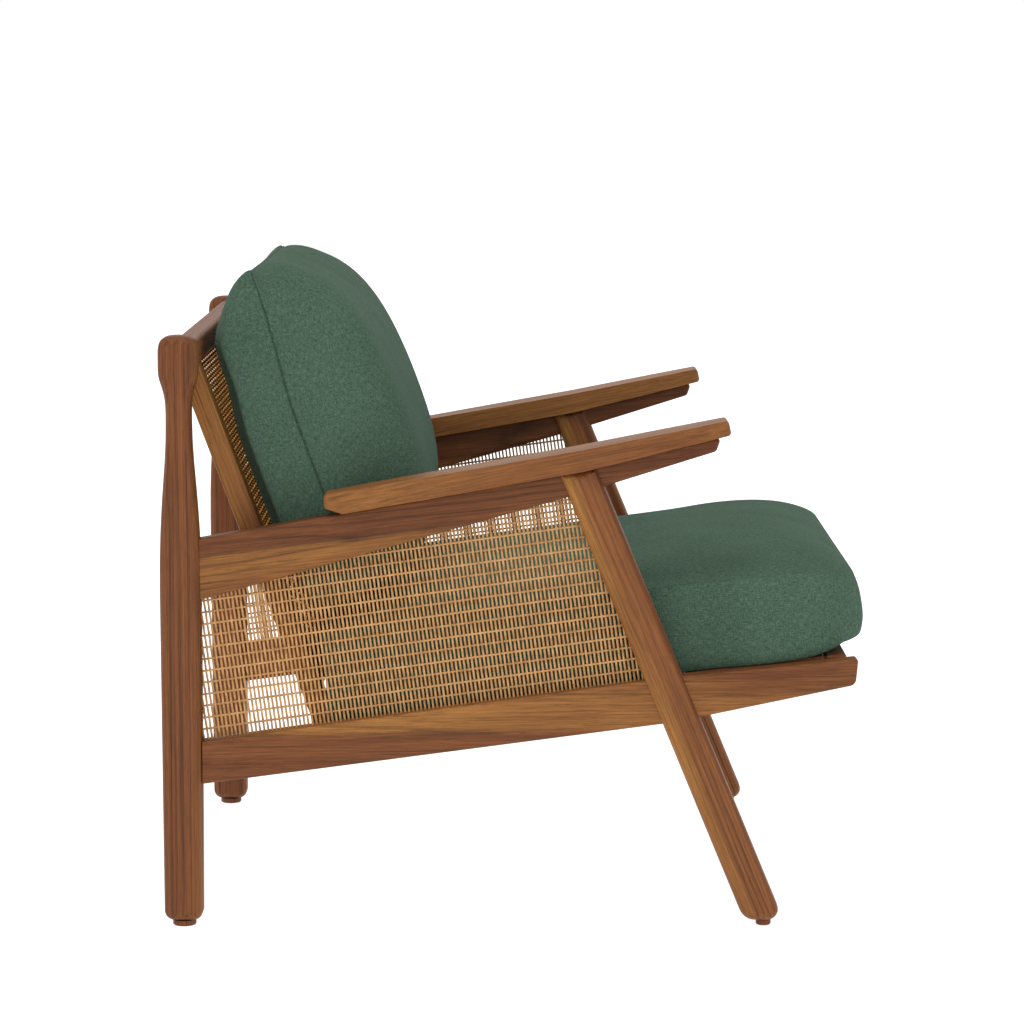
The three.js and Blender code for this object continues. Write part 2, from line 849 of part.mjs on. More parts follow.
// Back frame pieces stand in the reclined plane
const back = new THREE.Group();
back.position.set(stileRearX, 0, stileRearZ);
back.rotation.y = -reclineAngle;
chair.add(back);
const fromBackFrame = backFrame.clone().invert();
const crestInBack = crestCutter.clone().applyMatrix4(fromBackFrame);
const crossInBack = rearCrossCutter.clone().applyMatrix4(fromBackFrame);
for (const [side, name] of [[-1, 'right'], [1, 'left']]) {
  const y = side * stileMiddleY;
  const stile = cut(stileBlank(), moved(crestInBack, 0, -y, 0), moved(crossInBack, 0, -y, 0));
  const whole = join(stile, stileTenons());
  const grooved = cut(whole, moved(backGroove, 0, -y, 0));
  addPiece(back, `${name}_back_stile`, grooved, teak).position.y = y;
}
const lowerBackRail = block(
  0, stileThickness,
  -backInnerY + gap, backInnerY - gap,
  lowerRailBottom, lowerRailTop,
);
addPiece(back, 'lower_back_rail', cut(lowerBackRail, backGroove), teak);
const backNet = acrossBack(caneNet(
  backCaneOutline(grooveDepth - gap), backCaneOutline(-caneBorder), backCaneColumns, backCaneRows, 0,
));
addPiece(back, 'back_cane', backNet, cane);

// Seat support in the plane that the cushion lies on
const seat = new THREE.Group();
seat.position.set(railStartX, 0, seatRailRearTop);
seat.rotation.y = -seatPitch;
chair.add(seat);

function alongSeat(x) {
  return (x - railStartX) / Math.cos(seatPitch);
}

const slatTop = -slatDrop;
const cleatTop = slatTop - slatThickness - gap;
const cleatOuterY = sidePlaneY - railThickness / 2 - gap;
const slatHalfLength = cleatOuterY - cleatLip - gap;
const supportStart = alongSeat(rearCrossX + crossRailWidth / 2 + gap);
const supportDepth = slatDrop + slatThickness + cleatSize + 2 * gap;
const supportEnd = alongSeat(frontCrossX - frontCrossRailWidth / 2 - gap)
  - supportDepth * Math.sin(seatPitch);
const slatPitch = (supportEnd - supportStart - slatWidth) / (slatCount - 1);
for (let i = 0; i < slatCount; i += 1) {
  const start = supportStart + i * slatPitch;
  const slat = block(
    start, start + slatWidth, -slatHalfLength, slatHalfLength, slatTop - slatThickness, slatTop,
  );
  addPiece(seat, `seat_slat_${i + 1}`, slat, darkTeak);
}
const cleatHighZ = seatRailTopAt(seatKneeX);
const cleatLowZ = cleatHighZ - supportDepth - gap - frontLegWidth * seatSlope;
const rearCleatEnd = alongSeat(frontLegRearAt(cleatHighZ)) - gap;
const frontCleatStart = alongSeat(frontLegFrontAt(cleatLowZ)) + gap;
// Each cleat is rebated, so that the slats lie between its upstanding lips
function rebatedCleat(side, start, end) {
  const inwards = (width) => [side * cleatOuterY, side * (cleatOuterY - width)].sort((a, b) => a - b);
  return join(
    block(start, end, ...inwards(cleatSize), cleatTop - cleatSize, cleatTop),
    block(start, end, ...inwards(cleatLip), cleatTop - cleatSize / 2, slatTop),
  );
}

for (const [side, name] of [[-1, 'right'], [1, 'left']]) {
  addPiece(seat, `${name}_rear_seat_cleat`, rebatedCleat(side, supportStart, rearCleatEnd), darkTeak);
  addPiece(seat, `${name}_front_seat_cleat`, rebatedCleat(side, frontCleatStart, supportEnd), darkTeak);
}

// Cushions: rings of a rounded outline, from the middle of one face over the edge to the other
const outlineCorner = 6;
const outlineSide = 6;

// Points round a rounded rectangle, each with its place, side and how near it is to a side's middle
function cushionOutline(low, high, radius) {
  const centres = [
    [high.x - radius, high.y - radius, 0],
    [low.x + radius, high.y - radius, 1],
    [low.x + radius, low.y + radius, 2],
    [high.x - radius, low.y + radius, 3],
  ];
  const places = [];
  centres.forEach(([x, y, quarter], i) => {
    for (let k = 0; k <= outlineCorner; k += 1) {
      const angle = (quarter + k / outlineCorner) * Math.PI / 2;
      places.push(point(x + radius * Math.cos(angle), y + radius * Math.sin(angle)));
    }
    const next = centres[(i + 1) % centres.length];
    const angle = (quarter + 1) * Math.PI / 2;
    const end = point(next[0] + radius * Math.cos(angle), next[1] + radius * Math.sin(angle));
    const start = places[places.length - 1].clone();
    for (let k = 1; k < outlineSide; k += 1) {
      places.push(start.clone().lerp(end, k / outlineSide));
    }
  });
  return places;
}

// rings: lists of points, outermost faces closed by their middle points
function ringSolid(first, rings, last) {
  const count = rings[0].length;
  const positions = [first, ...rings.flat(), last].flatMap((p) => [p.x, p.y, p.z]);
  const index = [];
  const at = (ring, i) => 1 + ring * count + (i % count);
  for (let i = 0; i < count; i += 1) {
    index.push(0, at(0, i + 1), at(0, i));
    index.push(1 + rings.length * count, at(rings.length - 1, i), at(rings.length - 1, i + 1));
  }
  for (let ring = 0; ring + 1 < rings.length; ring += 1) {
    for (let i = 0; i < count; i += 1) {
      index.push(at(ring, i), at(ring, i + 1), at(ring + 1, i));
      index.push(at(ring, i + 1), at(ring + 1, i + 1), at(ring + 1, i));
    }
  }
  return indexed(positions, index);
}

// Seat cushion, lying on the slats just below the rails' tops, its length along the seat
const seatBase = slatTop + gap;
const seatHalfWidth = sidePlaneY - frontLegThickness / 2 - legClearance;
const seatFrame = new THREE.Matrix4().makeRotationY(-seatPitch);
seatFrame.setPosition(railStartX, 0, seatRailRearTop);
const fromSeatFrame = seatFrame.clone().invert();
const stileFront = new THREE.Vector3(stileThickness, 0, 0)
  .applyMatrix4(backFrame)
  .applyMatrix4(fromSeatFrame);
const stileLean = Math.tan(reclineAngle - seatPitch);
const seatCushionRear = stileFront.x - (seatBase + seatHem - stileFront.z) * stileLean + gap;
const seatCushionFront = alongSeat(seatCushionFrontX + seatBoxing * Math.sin(seatPitch) / 2);
const seatLow = point(seatCushionRear, -seatHalfWidth);
const seatHigh = point(seatCushionFront, seatHalfWidth);
const seatMiddle = seatLow.clone().lerp(seatHigh, 0.5);
const seatBulgeShare = seatSideBulge / seatHalfWidth;
const seatDomeShares = [1, 0.96, 0.9, 0.8, 0.66, 0.48, 0.26];
const seatDomePower = 6;
const seatFrontDomePower = 3;
const seatFrontFallPower = 5;
const seatSideFallShare = 0.8;

function seatRing(share, z) {
  const outline = cushionOutline(seatLow, seatHigh, seatCornerRadius);
  return outline.map((p) => {
    const spot = p.lerp(seatMiddle, 1 - share * (1 - seatBulgeShare));
    return new THREE.Vector3(spot.x, spot.y, z);
  });
}

// The top falls away gently to the sides, steeply at the rear and in a full curve over the front
function seatDomeRing(share) {
  return seatRing(share, seatBoxing).map((spot) => {
    const across = spot.y / seatHalfWidth;
    const forward = Math.max(0, (spot.x - seatMiddle.x) / (seatHigh.x - seatMiddle.x));
    const turned = Math.min(1, forward / share) ** 2;
    const power = seatDomePower + (seatFrontDomePower - seatDomePower) * turned;
    spot.z += seatCrown * (1 - share ** power) * (1 - seatSideFallShare * across * across);
    spot.z -= seatFrontFall * forward ** seatFrontFallPower;
    return spot;
  });
}

const seatFull = 1 / (1 - seatBulgeShare);
const hemShares = [0.93, 0.985];
const seatRings = [
  seatRing(hemShares[0], seatBase),
  seatRing(hemShares[1], seatBase + seatHem / 3),
  seatRing(1, seatBase + seatHem),
  seatRing((1 + seatFull) / 2, (seatHem + seatBoxing / 2) / 2),
  seatRing(seatFull, seatBoxing / 2),
  seatRing((1 + seatFull) / 2, (seatBoxing + seatBoxing / 2) / 2),
  ...seatDomeShares.map(seatDomeRing),
];
const seatCushion = ringSolid(
  new THREE.Vector3(seatMiddle.x, seatMiddle.y, seatBase),
  seatRings,
  new THREE.Vector3(seatMiddle.x, seatMiddle.y, seatBoxing + seatCrown),
);
addPiece(seat, 'seat_cushion', seatCushion, cloth);

// Back cushion: x runs square to the back, z up the back, from the front plane of the stiles
const cushionFrontReach = backSeamFront + backFrontCrown;

// The lower face follows the seat cushion's crown, so in the reclined frame it drops as x grows
const seatCrownTop = new THREE.Vector3(0, 0, seatBoxing + seatCrown)
  .applyMatrix4(seatFrame)
  .applyMatrix4(fromBackFrame);

function backBottomAt(x) {
  return seatCrownTop.z - (x - seatCrownTop.x) * stileLean;
}

const backCushionHalfWidth = sidePlaneY - armrestWidestHalf - backCushionSideGap;
const backRest = stileThickness + cushionRest;
const backTop = backBottomAt(backRest) + backCushionTopRise;
const backMiddle = point(0, (backBottomAt(backRest) + backTop) / 2);
const backDomePower = 3;
const backLowerPower = 4.5;
const rearDomePower = 2.2;

// The top slopes down to the rear in a curve, from the front seam to the rear one
function backRing(share, depth, drawnInShare = 0) {
  const bottom = backBottomAt(depth);
  const behind = Math.max(0, (backRest + backSeamFront - depth) / (backSeamFront - backSeamRear));
  const low = point(-backCushionHalfWidth, bottom);
  const high = point(backCushionHalfWidth, backTop - backTopFall * behind * behind);
  return cushionOutline(low, high, backCornerRadius).map((p) => {
    const across = p.x / backCushionHalfWidth;
    const up = Math.max(0, (p.y - backMiddle.y) / (backTop - backMiddle.y));
    const crowned = p.y + backTopCrown * up * (1 - across * across);
    const scale = share * (1 - drawnInShare);
    const middle = (bottom + high.y) / 2;
    return { x: p.x * scale, z: middle + (crowned - middle) * scale };
  });
}

function domeDepth(share, power, lowerPower, spot, reach) {
  const lower = spot.z < backMiddle.y ? lowerPower : power;
  const blend = Math.min(1, Math.abs(spot.z - backMiddle.y) / (backTop - backMiddle.y));
  const used = power + (lower - power) * blend;
  return reach * (1 - share ** used);
}

function frontDomeRing(share) {
  const seam = backRest + backSeamFront;
  const flat = backRing(share, seam);
  return flat.map((spot) => {
    const depth = seam + domeDepth(share, backDomePower, backLowerPower, spot, backFrontCrown);
    const shift = (backBottomAt(depth) - backBottomAt(seam)) * share;
    const low = spot.z < backMiddle.y ? (backMiddle.y - spot.z) / (backMiddle.y - backBottomAt(seam)) : 0;
    return new THREE.Vector3(depth, spot.x, spot.z + shift * Math.min(1, low));
  });
}

// The crest rail stands proud of the stiles, so the cushion's back clears it from below its lower edge
const crestFrontInBack = new THREE.Vector3(crestFrontX, 0, crestTop).applyMatrix4(fromBackFrame);
const crestRest = crestFrontInBack.x + cushionRest;
const crestZone = crestFrontInBack.z - 2 * crestHeight;

function rearDomeRing(share) {
  return backRing(share, backRest + backSeamRear).map((spot) => {
    const dome = backRest + backSeamRear * share ** rearDomePower;
    const depth = spot.z > crestZone ? Math.max(dome, crestRest) : dome;
    return new THREE.Vector3(depth, spot.x, spot.z);
  });
}

const rearDomeShares = [0.4, 0.7, 0.9];
const frontDomeShares = [0.985, 0.94, 0.87, 0.77, 0.64, 0.47, 0.26];
const boxingDrawShares = [0, -0.006, -0.012, -0.009, 0];
const backRings = [
  ...rearDomeShares.map(rearDomeRing),
  ...boxingDrawShares.map((drawn, i) => {
    const depth = backRest + backSeamRear
      + (backSeamFront - backSeamRear) * i / (boxingDrawShares.length - 1);
    return backRing(1, depth, drawn).map((spot) => new THREE.Vector3(depth, spot.x, spot.z));
  }),
  ...frontDomeShares.map(frontDomeRing),
];
const backCushion = ringSolid(
  new THREE.Vector3(backRest, 0, backMiddle.y),
  backRings,
  new THREE.Vector3(backRest + cushionFrontReach, 0, backMiddle.y),
);

// The back cushion settles down the back until it rests on the seat cushion
const seatSolid = toSolid(seatCushion.clone().applyMatrix4(seatFrame).applyMatrix4(fromBackFrame));

function meetsSeat(rise) {
  return toSolid(moved(backCushion, 0, 0, rise)).intersect(seatSolid).getMesh().triVerts.length > 0;
}

let meeting = -settleReach;
let clear = settleReach;
while (clear - meeting > gap / 10) {
  const rise = (clear + meeting) / 2;
  if (meetsSeat(rise)) {
    meeting = rise;
  } else {
    clear = rise;
  }
}
addPiece(back, 'back_cushion', moved(backCushion, 0, 0, clear + gap), cloth);

// The chair stands on Z = 0, centred on X and Y
const bounds = new THREE.Box3().setFromObject(chair, true);
const middle = bounds.getCenter(new THREE.Vector3());
chair.position.set(-middle.x, -middle.y, -bounds.min.z);

export default chair;
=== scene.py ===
# %% [markdown]
# A low lounge chair is dressed here around its finished woodwork: two side frames,
# cane panels and two loose cushions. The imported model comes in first, and every piece
# below takes its place from it. Its box is kept, because the looks may not change the size.

import bisect
import math

import bmesh
import bpy
from mathutils import Matrix, Vector


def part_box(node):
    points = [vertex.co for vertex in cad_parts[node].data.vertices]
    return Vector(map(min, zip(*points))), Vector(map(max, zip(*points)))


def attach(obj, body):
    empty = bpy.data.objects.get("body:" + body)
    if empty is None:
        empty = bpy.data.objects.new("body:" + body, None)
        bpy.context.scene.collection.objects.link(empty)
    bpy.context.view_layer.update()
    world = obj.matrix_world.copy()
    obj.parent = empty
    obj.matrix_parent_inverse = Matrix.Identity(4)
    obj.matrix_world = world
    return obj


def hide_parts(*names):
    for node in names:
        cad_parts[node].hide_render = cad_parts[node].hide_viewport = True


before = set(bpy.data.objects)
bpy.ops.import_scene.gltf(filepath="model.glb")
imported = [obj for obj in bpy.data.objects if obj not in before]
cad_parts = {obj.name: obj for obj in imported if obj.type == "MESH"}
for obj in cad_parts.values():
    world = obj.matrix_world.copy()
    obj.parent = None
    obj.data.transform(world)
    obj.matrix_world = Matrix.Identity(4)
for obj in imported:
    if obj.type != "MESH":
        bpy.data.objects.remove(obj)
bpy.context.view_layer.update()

MM = 0.001

# %% [markdown]
# Two small steps come back for every new piece: a bmesh is turned into mesh data, and the
# data gets an object in the scene. The object stays at the origin, so its mesh holds its place.

# %% Helpers for pieces


def mesh_data(mesh, name):
    """Turns a bmesh into mesh data, and frees the bmesh."""
    data = bpy.data.meshes.new(name)
    mesh.to_mesh(data)
    mesh.free()
    return data


def in_scene(name, data):
    thing = bpy.data.objects.new(name, data)
    bpy.context.scene.collection.objects.link(thing)
    return thing


def principled(name):
    material = bpy.data.materials.new(name)
    material.use_nodes = True
    return material, material.node_tree, material.node_tree.nodes["Principled BSDF"]


print("helpers for pieces are ready")

# %% [markdown]
# The view is a long lens looking squarely at the chair's right side from a little above,
# so the far side frame shows just over the near one. A camera can be aimed at a target with a
# constraint, but a place and one tilt are enough here, and they can be measured: the lens and
# the height were found from the chair's level edges and from the even spacing of the cane.

# %% Camera
CAMERA_PLACE = (-0.0021, -4.482, 1.0163)
DOWNWARD_TILT = 7.208
LENS = 124.8

camera_data = bpy.data.cameras.new("side_view")
camera_data.lens = LENS
camera_data.sensor_width = 36
camera = in_scene("side_view", camera_data)
camera.location = CAMERA_PLACE
camera.rotation_euler = (math.radians(90 - DOWNWARD_TILT), 0, 0)
bpy.context.scene.camera = camera
print("camera at", CAMERA_PLACE, "with a lens of", LENS, "mm")

# %% [markdown]
# A product like this is lit in a white room: a bright, even surround and one large soft lamp
# above the chair's near side. More lamps could fill the shadows, but the white world already
# does that from all sides. The standard view transform keeps the white of the room white.

# %% Light
LAMP_PLACE = (-1.1, -2.3, 4.3)
LAMP_TARGET = (0, 0, 0.35)

world = bpy.data.worlds.new("white_room")
world.use_nodes = True
world.node_tree.nodes["Background"].inputs["Color"].default_value = (1, 1, 1, 1)
world.node_tree.nodes["Background"].inputs["Strength"].default_value = 1.0
bpy.context.scene.world = world
bpy.context.scene.view_settings.view_transform = "Standard"

lamp_data = bpy.data.lights.new("key_lamp", "AREA")
lamp_data.shape = "SQUARE"
lamp_data.size = 1.6
lamp_data.energy = 34
key_lamp = in_scene("key_lamp", lamp_data)
key_lamp.location = LAMP_PLACE
lamp_aim = Vector(LAMP_TARGET) - Vector(LAMP_PLACE)
key_lamp.rotation_euler = lamp_aim.to_track_quat("-Z", "Y").to_euler()
print("key lamp", lamp_data.energy, "watts")

# %% [markdown]
# The floor is one large square. A sweep that curves up behind the chair isn't needed, because
# the floor and the room both come out white. The floor glows a little by itself, so that the
# chair's shadow on it stays faint.

# %% Floor
HALF_FLOOR = 14

floor_mesh = bmesh.new()
bmesh.ops.create_grid(floor_mesh, x_segments=1, y_segments=1, size=HALF_FLOOR)
floor_data = mesh_data(floor_mesh, "studio_floor")
studio_floor = in_scene("studio_floor", floor_data)
floor_finish, _, floor_shader = principled("pale_floor")
floor_shader.inputs["Base Color"].default_value = (0.5, 0.5, 0.5, 1)
floor_shader.inputs["Roughness"].default_value = 0.9
floor_shader.inputs["Emission Color"].default_value = (1, 1, 1, 1)
floor_shader.inputs["Emission Strength"].default_value = 0.85
floor_data.materials.append(floor_finish)
print("floor", 2 * HALF_FLOOR, "m wide")

# %% [markdown]
# The finishes are built from shader nodes. Each helper adds one kind of node and joins it up:
# arithmetic on values, steps on vectors, a blend of two colours, a stretch of a value onto
# another range, and a noise that is squeezed by a different amount along each axis. With
# them, a finish below reads as a few lines instead of as a page of nodes and links.

# %% Helpers for node groups


def new_group(name, inputs, outputs):
    group = bpy.data.node_groups.new(name, "ShaderNodeTree")
    for label, kind, value in inputs:
        socket = group.interface.new_socket(label, in_out="INPUT", socket_type=kind)
        if value is not None:
            socket.default_value = value
    for label, kind in outputs:
        group.interface.new_socket(label, in_out="OUTPUT", socket_type=kind)
    return group, group.nodes.new("NodeGroupInput"), group.nodes.new("NodeGroupOutput")


def feed(tree, node, socket, source):
    """Joins another node's output to the socket, or sets the socket where source is a value."""
    if hasattr(source, "links"):
        tree.links.new(source, node.inputs[socket])
    else:
        node.inputs[socket].default_value = source


def add_node(tree, kind, sources=(), **settings):
    """A node with its settings first, because they can change which sockets are in use."""
    node = tree.nodes.new(kind)
    for key, value in settings.items():
        setattr(node, key, value)
    for socket, source in sources:
        feed(tree, node, socket, source)
    return node


def arithmetic(tree, operation, first, second=0.0):
    node = add_node(tree, "ShaderNodeMath", [(0, first), (1, second)], operation=operation)
    return node.outputs[0]


def product(tree, first, *others):
    for other in others:
        first = arithmetic(tree, "MULTIPLY", first, other)
    return first


def vector_step(tree, operation, first, second):
    sources = [(0, first), (1, second)]
    return add_node(tree, "ShaderNodeVectorMath", sources, operation=operation).outputs[0]


def blend_colours(tree, kind, share, first, second):
    sources = [(0, share), (6, first), (7, second)]
    return add_node(tree, "ShaderNodeMix", sources, data_type="RGBA", blend_type=kind).outputs[2]


def spread(tree, value, low, high, to_low=0.0, to_high=1.0):
    sources = [
        ("Value", value), ("From Min", low), ("From Max", high),
        ("To Min", to_low), ("To Max", to_high),
    ]
    return add_node(tree, "ShaderNodeMapRange", sources).outputs["Result"]


def stretched_noise(tree, vector, scale, detail=3.0, roughness=0.5):
    squeezed = vector_step(tree, "MULTIPLY", vector, scale)
    sources = [("Vector", squeezed), ("Scale", 1.0), ("Detail", detail), ("Roughness", roughness)]
    return add_node(tree, "ShaderNodeTexNoise", sources)


def bumped(tree, shader, height, strength, distance):
    """Lets a height that changes over the surface tilt the shader's normal."""
    sources = [("Height", height), ("Strength", strength), ("Distance", distance)]
    bump = add_node(tree, "ShaderNodeBump", sources)
    tree.links.new(bump.outputs["Normal"], shader.inputs["Normal"])


print("helpers for node groups are ready")

# %% [markdown]
# Oiled teak has its figure at three scales. The log's outer sapwood is golden and meets the
# brown heartwood in a ragged border. Growth rings run out of the face as bands and dark
# streaks. Over it all lie fine fibres with short open pores. A wave texture can draw grain
# too, but its lines are ruled and even, so most of this is noise, squeezed across the grain.
# One node group holds it all, so that every piece shares the same wood and only says how
# much of each it shows.

# %% Sway of the grain
LARGEST_SWAY = (0.0, 0.035, 0.035)


def swayed(group, place, sway):
    """Moves the grain a little sideways along its length, so that it isn't ruled."""
    drift = stretched_noise(group, place, (3.2, 14, 14), 2).outputs["Color"]
    offset = vector_step(group, "SUBTRACT", drift, (0.5, 0.5, 0.5))
    scaled = vector_step(group, "MULTIPLY", offset, LARGEST_SWAY)
    sources = [(0, scaled), ("Scale", sway)]
    shares = add_node(group, "ShaderNodeVectorMath", sources, operation="SCALE").outputs[0]
    return vector_step(group, "ADD", place, shares)


print("the grain sways by up to", LARGEST_SWAY[1] / 2, "m")

# %% Rings and heartwood
HALF_WAVES_PER_METRE = 330.0


def ring_lines(group, wavy):
    """Thin dark lines around the grain's own axis, one on each second half wave."""
    across = vector_step(group, "MULTIPLY", wavy, (0.0, 1.0, 1.0))
    radius = add_node(group, "ShaderNodeVectorMath", [(0, across)], operation="LENGTH")
    turns = arithmetic(group, "MULTIPLY", radius.outputs["Value"], HALF_WAVES_PER_METRE)
    return arithmetic(group, "POWER", arithmetic(group, "PINGPONG", turns, 1.0), 4.0)


def heartwood_border(group, place, wavy, sway):
    """The height over the ragged border between sapwood and heartwood."""
    level = add_node(group, "ShaderNodeSeparateXYZ", [("Vector", wavy)]).outputs["Z"]
    fringe = stretched_noise(group, place, (11, 110, 110), 5, 0.7)
    rag = spread(group, fringe.outputs["Fac"], 0.0, 1.0, -0.02, 0.02)
    return arithmetic(group, "ADD", level, product(group, rag, sway))


print("growth rings", round(2000 / HALF_WAVES_PER_METRE, 1), "mm apart")

# %% Colour of the log


def log_colour(group, place, wavy, colours, amounts):
    """Light bands, golden sapwood, rings, streaks and the border's own line, in that order."""
    gold, pale, warm, dark = colours
    streaks, rings, sapwood, lightness, sway = amounts
    bands = stretched_noise(group, wavy, (0.9, 48, 48), 2).outputs["Fac"]
    light_share = product(group, spread(group, bands, 0.36, 0.62), lightness)
    colour = blend_colours(group, "MIX", light_share, warm, pale)

    border = heartwood_border(group, place, wavy, sway)
    outside = spread(group, border, -0.005, 0.004, 1.0, 0.0)
    zones = stretched_noise(group, place, (2.2, 14, 14), 2).outputs["Fac"]
    gold_share = product(group, outside, spread(group, zones, 0.34, 0.60), sapwood)
    colour = blend_colours(group, "MIX", gold_share, colour, gold)

    patches = stretched_noise(group, place, (6, 18, 18), 2).outputs["Fac"]
    patch_share = spread(group, patches, 0.42, 0.62)
    ring_share = product(group, ring_lines(group, wavy), patch_share, rings)
    colour = blend_colours(group, "MIX", ring_share, colour, dark)

    lines = stretched_noise(group, wavy, (1.3, 330, 330), 4, 0.65).outputs["Fac"]
    streak_share = product(group, spread(group, lines, 0.52, 0.68), streaks)
    colour = blend_colours(group, "MIX", streak_share, colour, dark)

    border_line = spread(group, arithmetic(group, "ABSOLUTE", border), 0.0, 0.006, 0.75, 0.0)
    border_share = product(group, border_line, patch_share, rings)
    return blend_colours(group, "MIX", border_share, colour, dark)


print("the log's colours are ready")

# %% Fibres and pores


def fine_grain(group, wavy, colour, dark):
    """Adds fibres and pores to the colour; gives it back with the roughness and the height."""
    stripes = stretched_noise(group, wavy, (2.0, 600, 600), 3, 0.6).outputs["Fac"]
    fibres = stretched_noise(group, wavy, (26, 620, 620), 4, 0.7).outputs["Fac"]
    fine = arithmetic(group, "ADD", product(group, stripes, 0.5), product(group, fibres, 0.5))
    fibre_tone = spread(group, fine, 0.34, 0.66, 0.6, 1.38)
    grey = add_node(group, "ShaderNodeCombineColor", [(i, fibre_tone) for i in range(3)])
    colour = blend_colours(group, "MULTIPLY", 1.0, colour, grey.outputs["Color"])

    pores = stretched_noise(group, wavy, (45, 1500, 1500), 1).outputs["Fac"]
    pore_share = spread(group, pores, 0.64, 0.72, 0.0, 0.4)
    colour = blend_colours(group, "MIX", pore_share, colour, dark)
    roughness = spread(group, fibres, 0.3, 0.7, 0.42, 0.56)
    return colour, roughness, arithmetic(group, "SUBTRACT", fibres, pore_share)


print("fibres and pores are ready")

# %% Teak figure
TEAK_COLOURS = {
    "Gold": (0.33, 0.142, 0.033, 1),
    "Pale": (0.208, 0.073, 0.0210, 1),
    "Warm": (0.126, 0.039, 0.0120, 1),
    "Dark": (0.04, 0.013, 0.006, 1),
}
TEAK_AMOUNTS = {"Streaks": 0.4, "Rings": 0.3, "Sapwood": 0.5, "Lightness": 1.0, "Sway": 0.2}


def teak_figure():
    inputs = [("Vector", "NodeSocketVector", None)]
    inputs += [(label, "NodeSocketColor", colour) for label, colour in TEAK_COLOURS.items()]
    inputs += [(label, "NodeSocketFloat", amount) for label, amount in TEAK_AMOUNTS.items()]
    outputs = [
        ("Color", "NodeSocketColor"), ("Roughness", "NodeSocketFloat"), ("Height", "NodeSocketFloat"),
    ]
    group, given, out = new_group("teak_figure", inputs, outputs)
    place = given.outputs["Vector"]
    colours = [given.outputs[label] for label in TEAK_COLOURS]
    amounts = [given.outputs[label] for label in TEAK_AMOUNTS]
    wavy = swayed(group, place, given.outputs["Sway"])
    broad = log_colour(group, place, wavy, colours, amounts)
    colour, roughness, height = fine_grain(group, wavy, broad, given.outputs["Dark"])
    feed(group, out, "Color", colour)
    feed(group, out, "Roughness", roughness)
    feed(group, out, "Height", height)
    return group


TEAK_FIGURE = teak_figure()
print("teak figure", len(TEAK_FIGURE.nodes), "nodes")

# %% [markdown]
# Each piece of wood turns that figure so that the grain runs along its own length. A map on
# each mesh could do it, but a Mapping node on Object coordinates does it with three numbers.
# A sawn board shows where it lay in the log: heart is the place where the sapwood's border
# passes. The legs are streaked, and the rails show golden sapwood beside the brown heart.

# %% Teak for each piece


def teak(name, slope, heart, turned=0.0, **amounts):
    """Teak with its grain climbing at slope degrees in the side view and turned about the
    vertical. The darker heartwood lies on the upper side of heart, in the grain's own frame."""
    material, tree, shader = principled(name)
    place = add_node(tree, "ShaderNodeTexCoord").outputs["Object"]
    rotation = (0, -math.radians(slope), math.radians(turned))
    sources = [("Vector", place), ("Location", heart), ("Rotation", rotation)]
    board = add_node(tree, "ShaderNodeMapping", sources, vector_type="TEXTURE")
    figure = add_node(tree, "ShaderNodeGroup", node_tree=TEAK_FIGURE)
    feed(tree, figure, "Vector", board.outputs["Vector"])
    for label, amount in amounts.items():
        feed(tree, figure, label.title(), amount)
    feed(tree, shader, "Base Color", figure.outputs["Color"])
    feed(tree, shader, "Roughness", figure.outputs["Roughness"])
    bumped(tree, shader, figure.outputs["Height"], 0.25, 0.5 * MM)
    shader.inputs["Specular IOR Level"].default_value = 0.2
    return material


upright_teak = teak(
    "upright_teak", 90, (-0.3745, -0.30, 0.0), streaks=0.9, sway=0.06, sapwood=0.35, lightness=0.5,
)
raked_teak = teak(
    "raked_teak", -67.6, (0.174, -0.31, 0.29), streaks=0.7, sway=0.1, sapwood=1.0, lightness=1.5,
)
seat_rail_teak = teak(
    "seat_rail_teak", 181, (0.40, -0.33, 0.242), turned=1, rings=0.4, sapwood=0.8, lightness=0.55,
)
arm_rail_teak = teak(
    "arm_rail_teak", 7, (-0.29, -0.34, 0.453), turned=1, rings=0.75, sapwood=0.6, lightness=0.4, sway=0.3,
)
armrest_teak = teak("armrest_teak", 11.5, (0.0, -0.36, 0.60), streaks=0.3)
crossing_teak = teak("crossing_teak", 0, (-0.33, 0.0, 0.66), turned=90)
stile_teak = teak("stile_teak", 110.3, (-0.30, -0.29, 0.3), streaks=0.7, sapwood=0.9)
support_teak = teak("support_teak", 8, (0.0, 0.0, 0.2), turned=90, sapwood=0.3)
print("eight teak finishes")

# %% [markdown]
# The woodwork's shapes are right as they are, but their meshes come as loose triangles with
# hard corners. A copy of each is joined up, its flat faces are made whole again, and every
# sharp corner gets the small broken edge that sandpaper leaves, so that it catches light.
# The bevel is a modifier, because it finds the sharp corners by their angle.

# %% Sanded wood
SHARP = math.radians(38)
FLAT = math.radians(0.6)
BROKEN_EDGE = 0.8 * MM


def sanded(node, name, finish, edge=BROKEN_EDGE):
    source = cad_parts[node]
    mesh = bmesh.new()
    mesh.from_mesh(source.data)
    bmesh.ops.remove_doubles(mesh, verts=mesh.verts, dist=0.00001)
    bmesh.ops.dissolve_limit(mesh, angle_limit=FLAT, verts=mesh.verts, edges=mesh.edges)
    for face in mesh.faces:
        face.smooth = True
    for line in mesh.edges:
        line.smooth = line.calc_face_angle(0) < SHARP
    data = mesh_data(mesh, name)
    piece = in_scene(name, data)
    bevel = piece.modifiers.new("broken_edges", "BEVEL")
    bevel.width = edge
    bevel.segments = 2
    bevel.limit_method = "ANGLE"
    bevel.angle_limit = SHARP
    bevel.harden_normals = False
    weighted = piece.modifiers.new("even_shading", "WEIGHTED_NORMAL")
    weighted.keep_sharp = True
    weighted.weight = 80
    data.materials.append(finish)
    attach(piece, "frame")
    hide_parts(node)


